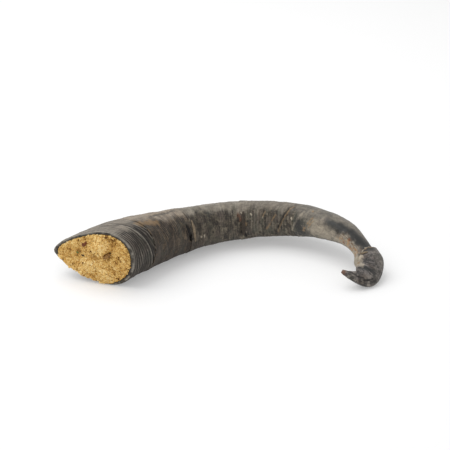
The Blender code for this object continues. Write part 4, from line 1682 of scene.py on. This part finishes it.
    def dress(self) -> None:
        """Builds the plug and its crumbs in one finish."""
        finish = CrumbFinish().build()
        plug, heap = self.plug(), self.crumb_heap()
        plug.data.materials.append(finish)
        heap.data.materials.append(finish)
        take_place(plug, "filling_plug")
        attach(heap, BODY)
        LOG.info("%-26s %7d faces", heap.name, len(heap.data.polygons))


def random_turns(draw: np.random.Generator, count: int) -> np.ndarray:
    """Random rotation matrices, from unit quaternions of four normal numbers.

    Args:
        draw: the random numbers.
        count: how many.

    Returns:
        Matrices, shape (count, 3, 3).
    """
    quaternion = draw.normal(size=(4, count))
    w, x, y, z = quaternion / np.linalg.norm(quaternion, axis=0)
    rows = [[1 - 2 * (y * y + z * z), 2 * (x * y - z * w), 2 * (x * z + y * w)],
            [2 * (x * y + z * w), 1 - 2 * (x * x + z * z), 2 * (y * z - x * w)],
            [2 * (x * z - y * w), 2 * (y * z + x * w), 1 - 2 * (x * x + y * y)]]
    return np.moveaxis(np.array(rows), 2, 0)


# ---------------------------------------------------------------- flakes

# Points round a flake's outline, and rings of points on each of its sides.
FLAKE_COLUMNS = 40
FLAKE_ROWS = 9


@dataclass
class Flake:
    """A small thin piece with a ragged outline, dished and thinner towards its edge.

    Args:
        node, slot: the CAD node it replaces, and its material slot, which is not used.
        length, width, thickness: in mm.
        finish: its surface.
        seed: of its outline.
        bedding: height of its underside over the carrier, in mm.
    """

    node: str
    slot: str
    length: float
    width: float
    thickness: float
    finish: FlakeFinish
    seed: int
    bedding: float = 0.35

    def surface(self, x: np.ndarray, y: np.ndarray, lift: np.ndarray) -> np.ndarray:
        """The point at shares x and y of the half length and half width, lifted off the carrier."""
        raise NotImplementedError

    def dress(self) -> bpy.types.Object:
        """Builds the flake: rings from the middle of the underside out to the edge and back over the top.

        Returns:
            The flake's object.
        """
        angle = np.arange(FLAKE_COLUMNS) * 2 * np.pi / FLAKE_COLUMNS
        out, back = np.linspace(0.05, 1, FLAKE_ROWS), np.linspace(0.98, 0.05, FLAKE_ROWS)
        share = np.concatenate([out, back])[:, None]
        top = np.concatenate([np.zeros(FLAKE_ROWS), np.ones(FLAKE_ROWS)])[:, None]
        circle = np.stack([np.cos(angle) * 1.7, np.sin(angle) * 1.7, np.full(FLAKE_COLUMNS, self.seed)], -1)
        outline = 1 + 0.22 * layered_noise(circle, self.seed, 2)
        x, y = share * outline * np.cos(angle), share * outline * np.sin(angle)
        lumps = 0.3 * layered_noise(np.stack([x * 3, y * 3, x * 0 + self.seed], -1), self.seed + 1, 2)
        lift = self.bedding + top * self.thickness * (1 - 0.7 * share ** 2 + lumps)
        place = self.surface(x, y, lift)
        along = np.stack([x * self.length * 0.25, y * self.width, lift], -1)
        poles = (place[0].mean(0), place[-1].mean(0))
        piece = RingGrid(place, {"along": along}, poles).build(self.node + "_surface")
        piece.data.materials.append(self.finish.build())
        return take_place(piece, self.node)


@dataclass
class FaceFlake(Flake):
    """A flake bedded in the face of the filling.

    Args:
        keel, flank: its middle, in shares of the mouth's half sizes.
        turn: angle of its length from the keel direction, in degrees.
    """

    keel: float = 0.0
    flank: float = 0.0
    turn: float = 0.0

    def surface(self, x: np.ndarray, y: np.ndarray, lift: np.ndarray) -> np.ndarray:
        """A point over the filling's face, following its mounds.

        Args:
            x, y: shares of the half length and half width.
            lift: height over the carrier, in mm.

        Returns:
            Points in millimetres, shape (..., 3).
        """
        turn = np.radians(self.turn)
        along, across = x * self.length / 2, y * self.width / 2
        half = HORN.mouth_depth / 2
        to_keel = self.keel + (along * np.cos(turn) - across * np.sin(turn)) / half
        to_flank = self.flank + (along * np.sin(turn) + across * np.cos(turn)) / (half * STATIONS[0].flatness)
        return Filling().face_point(to_keel, to_flank, lift)


@dataclass
class SkinFlake(Flake):
    """A scale on the horn's outer surface above a growth edge, with one end lifting off.

    Args:
        edge: number of the growth edge.
        above: distance of its near side from that edge, in mm.
        angle: theta of its middle, in degrees.
        rise: how far its end lifts off, in mm; the lift grows with the square of the way to that end.
    """

    edge: int = 1
    above: float = 1.2
    angle: float = 180.0
    rise: float = 1.0

    def surface(self, x: np.ndarray, y: np.ndarray, lift: np.ndarray) -> np.ndarray:
        """A point over the horn's skin.

        Args:
            x, y: shares of the half length and half width.
            lift: height over the carrier, in mm.

        Returns:
            Points in millimetres, shape (..., 3).
        """
        centre = np.radians(np.array([self.angle]))
        base = HORN.edge(self.edge, centre)[0]
        middle = base + self.above + self.width / 2
        theta = centre + x * self.length / 2 / HORN.half_width(np.array([middle]))[0]
        s = middle + y * self.width / 2
        ridge = HORN.ridge_height(self.edge, theta) * np.exp(-(s - base) / HORN.ridge_fade)
        raised = self.rise * np.clip(x, 0, 1) ** 2
        return HORN.point(s, theta, HORN.inset(s, -(ridge + lift + raised)))


# ---------------------------------------------------------------- studio

@dataclass
class Studio:
    """White table, a large soft light overhead and an even white surround, with the camera.

    Args:
        elevation: how far the camera looks down, in degrees.
        distance: from the camera to its target, in mm.
        lens, sensor: focal length and sensor width, in mm.
        target_from_mouth: what the camera looks at, from the middle of the mouth, in mm.
        table_half: half the side of the table, in metres.
        glow: strength of the table's faint glow.
        surround: strength of the white surround.
        key_place, key_size: where the soft light hangs and its side, in metres.
        key_power: its power in watts.
    """

    elevation: float = 27.2
    distance: float = 850.0
    lens: float = 85.0
    sensor: float = 36.0
    target_from_mouth: tuple = (96.4, 72.2, 10.0)
    table_half: float = 3.0
    glow: float = 0.25
    surround: float = 0.80
    key_place: tuple = (-0.5, 0.22, 1.1)
    key_size: float = 1.1
    key_power: float = 9.0

    def build(self) -> None:
        """Makes the floor, the lights, the surround and the camera."""
        self.floor()
        self.lights()
        self.camera()

    def floor(self) -> None:
        """A matt white table top: one square face at the height of the floor."""
        half = self.table_half
        corners = [(-half, -half, 0), (half, -half, 0), (half, half, 0), (-half, half, 0)]
        mesh = bpy.data.meshes.new("table_top")
        mesh.from_pydata(corners, [], [(0, 1, 2, 3)])
        table = bpy.data.objects.new("table_top", mesh)
        bpy.context.scene.collection.objects.link(table)
        material = bpy.data.materials.new("matt_white_table")
        material.use_nodes = True
        surface = material.node_tree.nodes["Principled BSDF"]
        surface.inputs["Base Color"].default_value = linear("#d4d4d4")
        # A faint glow stands for the light that a white table scatters under the object.
        surface.inputs["Emission Color"].default_value = linear("#ffffff")
        surface.inputs["Emission Strength"].default_value = self.glow
        surface.inputs["Roughness"].default_value = 0.9
        surface.inputs["Specular IOR Level"].default_value = 0.1
        mesh.materials.append(material)

    def lights(self) -> None:
        """A large soft box overhead, to the left and a little behind, in an even white surround."""
        world = bpy.data.worlds.new("white_surround")
        world.use_nodes = True
        background = world.node_tree.nodes["Background"]
        background.inputs["Color"].default_value = linear("#ffffff")
        background.inputs["Strength"].default_value = self.surround
        bpy.context.scene.world = world
        light = bpy.data.lights.new("key_light", "AREA")
        light.size, light.energy = self.key_size, self.key_power
        lamp = bpy.data.objects.new("key_light", light)
        lamp.location = self.key_place
        lamp.rotation_mode = "QUATERNION"
        lamp.rotation_quaternion = (-Vector(self.key_place)).to_track_quat("-Z", "Y")
        bpy.context.scene.collection.objects.link(lamp)

    def camera(self) -> None:
        """A camera that looks along +Y and down at the horn."""
        data = bpy.data.cameras.new("camera")
        data.lens, data.sensor_width = self.lens, self.sensor
        data.clip_start, data.clip_end = 0.01, 20.0
        camera = bpy.data.objects.new("camera", data)
        tilt = np.radians(self.elevation)
        target = np.array(self.target_from_mouth) + HORN.shift
        back = np.array([0.0, -np.cos(tilt), np.sin(tilt)])
        camera.location = Vector((target + back * self.distance) * METRES)
        camera.rotation_mode = "QUATERNION"
        camera.rotation_quaternion = Vector(-back).to_track_quat("-Z", "Y")
        bpy.context.scene.collection.objects.link(camera)
        bpy.context.scene.camera = camera


BARK = FlakeFinish("dry_bark", "#4a2716", "#93552f")
HUSK = FlakeFinish("seed_husk", "#33261a", "#6b5234")
LEAF = FlakeFinish("dried_leaf", "#4d5a30", "#8b9657")
PALE_SCALE = FlakeFinish("bleached_keratin_scale", "#5f5141", "#93846e")
BROWN_SCALE = FlakeFinish("brown_keratin_scale", "#2a2520", "#50463c")
SHRED = FlakeFinish("bark_fibre", "#664524", "#ad8248")


def make_horn() -> None:
    """Builds the six growth cones, the filling and the flakes."""
    cones = (
        MouthCone("mouth_cone", "collar_keratin", 0, COLLAR, 480, 0.25, 3.0, 0.35, lines=1.1, swell=0.3,
                  sharpness=5.0, bend=0.35),
        GrowthCone("brown_cone", "brown_keratin", 1, BROWN, 448, 0.3, 1.7, 0.16, lines=0.45, dust_and_top_light=0.85),
        GrowthCone("lower_body_cone", "body_keratin", 2, LOWER, 400, 0.35, 2.4, 0.05, lines=0.22, dust_and_top_light=0.9),
        GrowthCone("upper_body_cone", "body_keratin", 3, UPPER, 360, 0.35, 2.9, 0.05, lines=0.2, dust_and_top_light=0.85),
        NeckCone("neck_cone", "neck_keratin", 4, NECK, 320, 0.35, 3.2, 0.02, lines=0.05, swell=0.3, scab=0.05,
                 dust_and_top_light=0.6),
        TipCap("tip_cap", "cap_keratin", 5, CAP, 320, 0.25, 2.6, 0.03, lines=0.08, swell=0.2, scab=0.08,
               dust_and_top_light=0.35),
    )
    for cone in cones:
        cone.dress()
    Filling().dress()
    flakes = (
        FaceFlake("bark_flake", "bark", 4.8, 3.4, 1.2, BARK, 1, keel=0.22, flank=0.55, turn=130),
        FaceFlake("bark_shred", "bark", 6.0, 2.6, 1.0, SHRED, 2, keel=-0.34, flank=0.08, turn=150),
        FaceFlake("seed_husk", "husk", 3.0, 2.2, 1.0, HUSK, 3, keel=0.28, flank=-0.02, turn=20),
        FaceFlake("leaf_fleck", "dried_leaf", 2.6, 1.8, 0.9, LEAF, 4, keel=0.42, flank=0.08, turn=70),
        FaceFlake("bark_crumb", "bark", 3.0, 2.2, 1.0, BARK, 5, keel=-0.42, flank=-0.56),
        SkinFlake("lifted_scale", "pale_scale", 12.0, 3.2, 0.8, PALE_SCALE, 6, edge=2, angle=165, rise=1.0),
        SkinFlake("brown_scale", "brown_scale", 14.0, 4.0, 0.8, BROWN_SCALE, 7, edge=3, angle=172, rise=0.6),
        SkinFlake("seam_chip", "pale_scale", 4.5, 2.0, 0.8, PALE_SCALE, 8, edge=5, above=1.4, angle=118,
                  rise=0.5),
    )
    for flake in flakes:
        flake.dress()


def main() -> None:
    """Builds the horn and the studio."""
    logging.basicConfig(level=logging.INFO, format="%(message)s")
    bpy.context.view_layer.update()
    make_horn()
    Studio().build()
    bpy.context.scene.view_settings.view_transform = "Standard"
    bpy.context.view_layer.update()


if __name__ == "__main__":
    main()
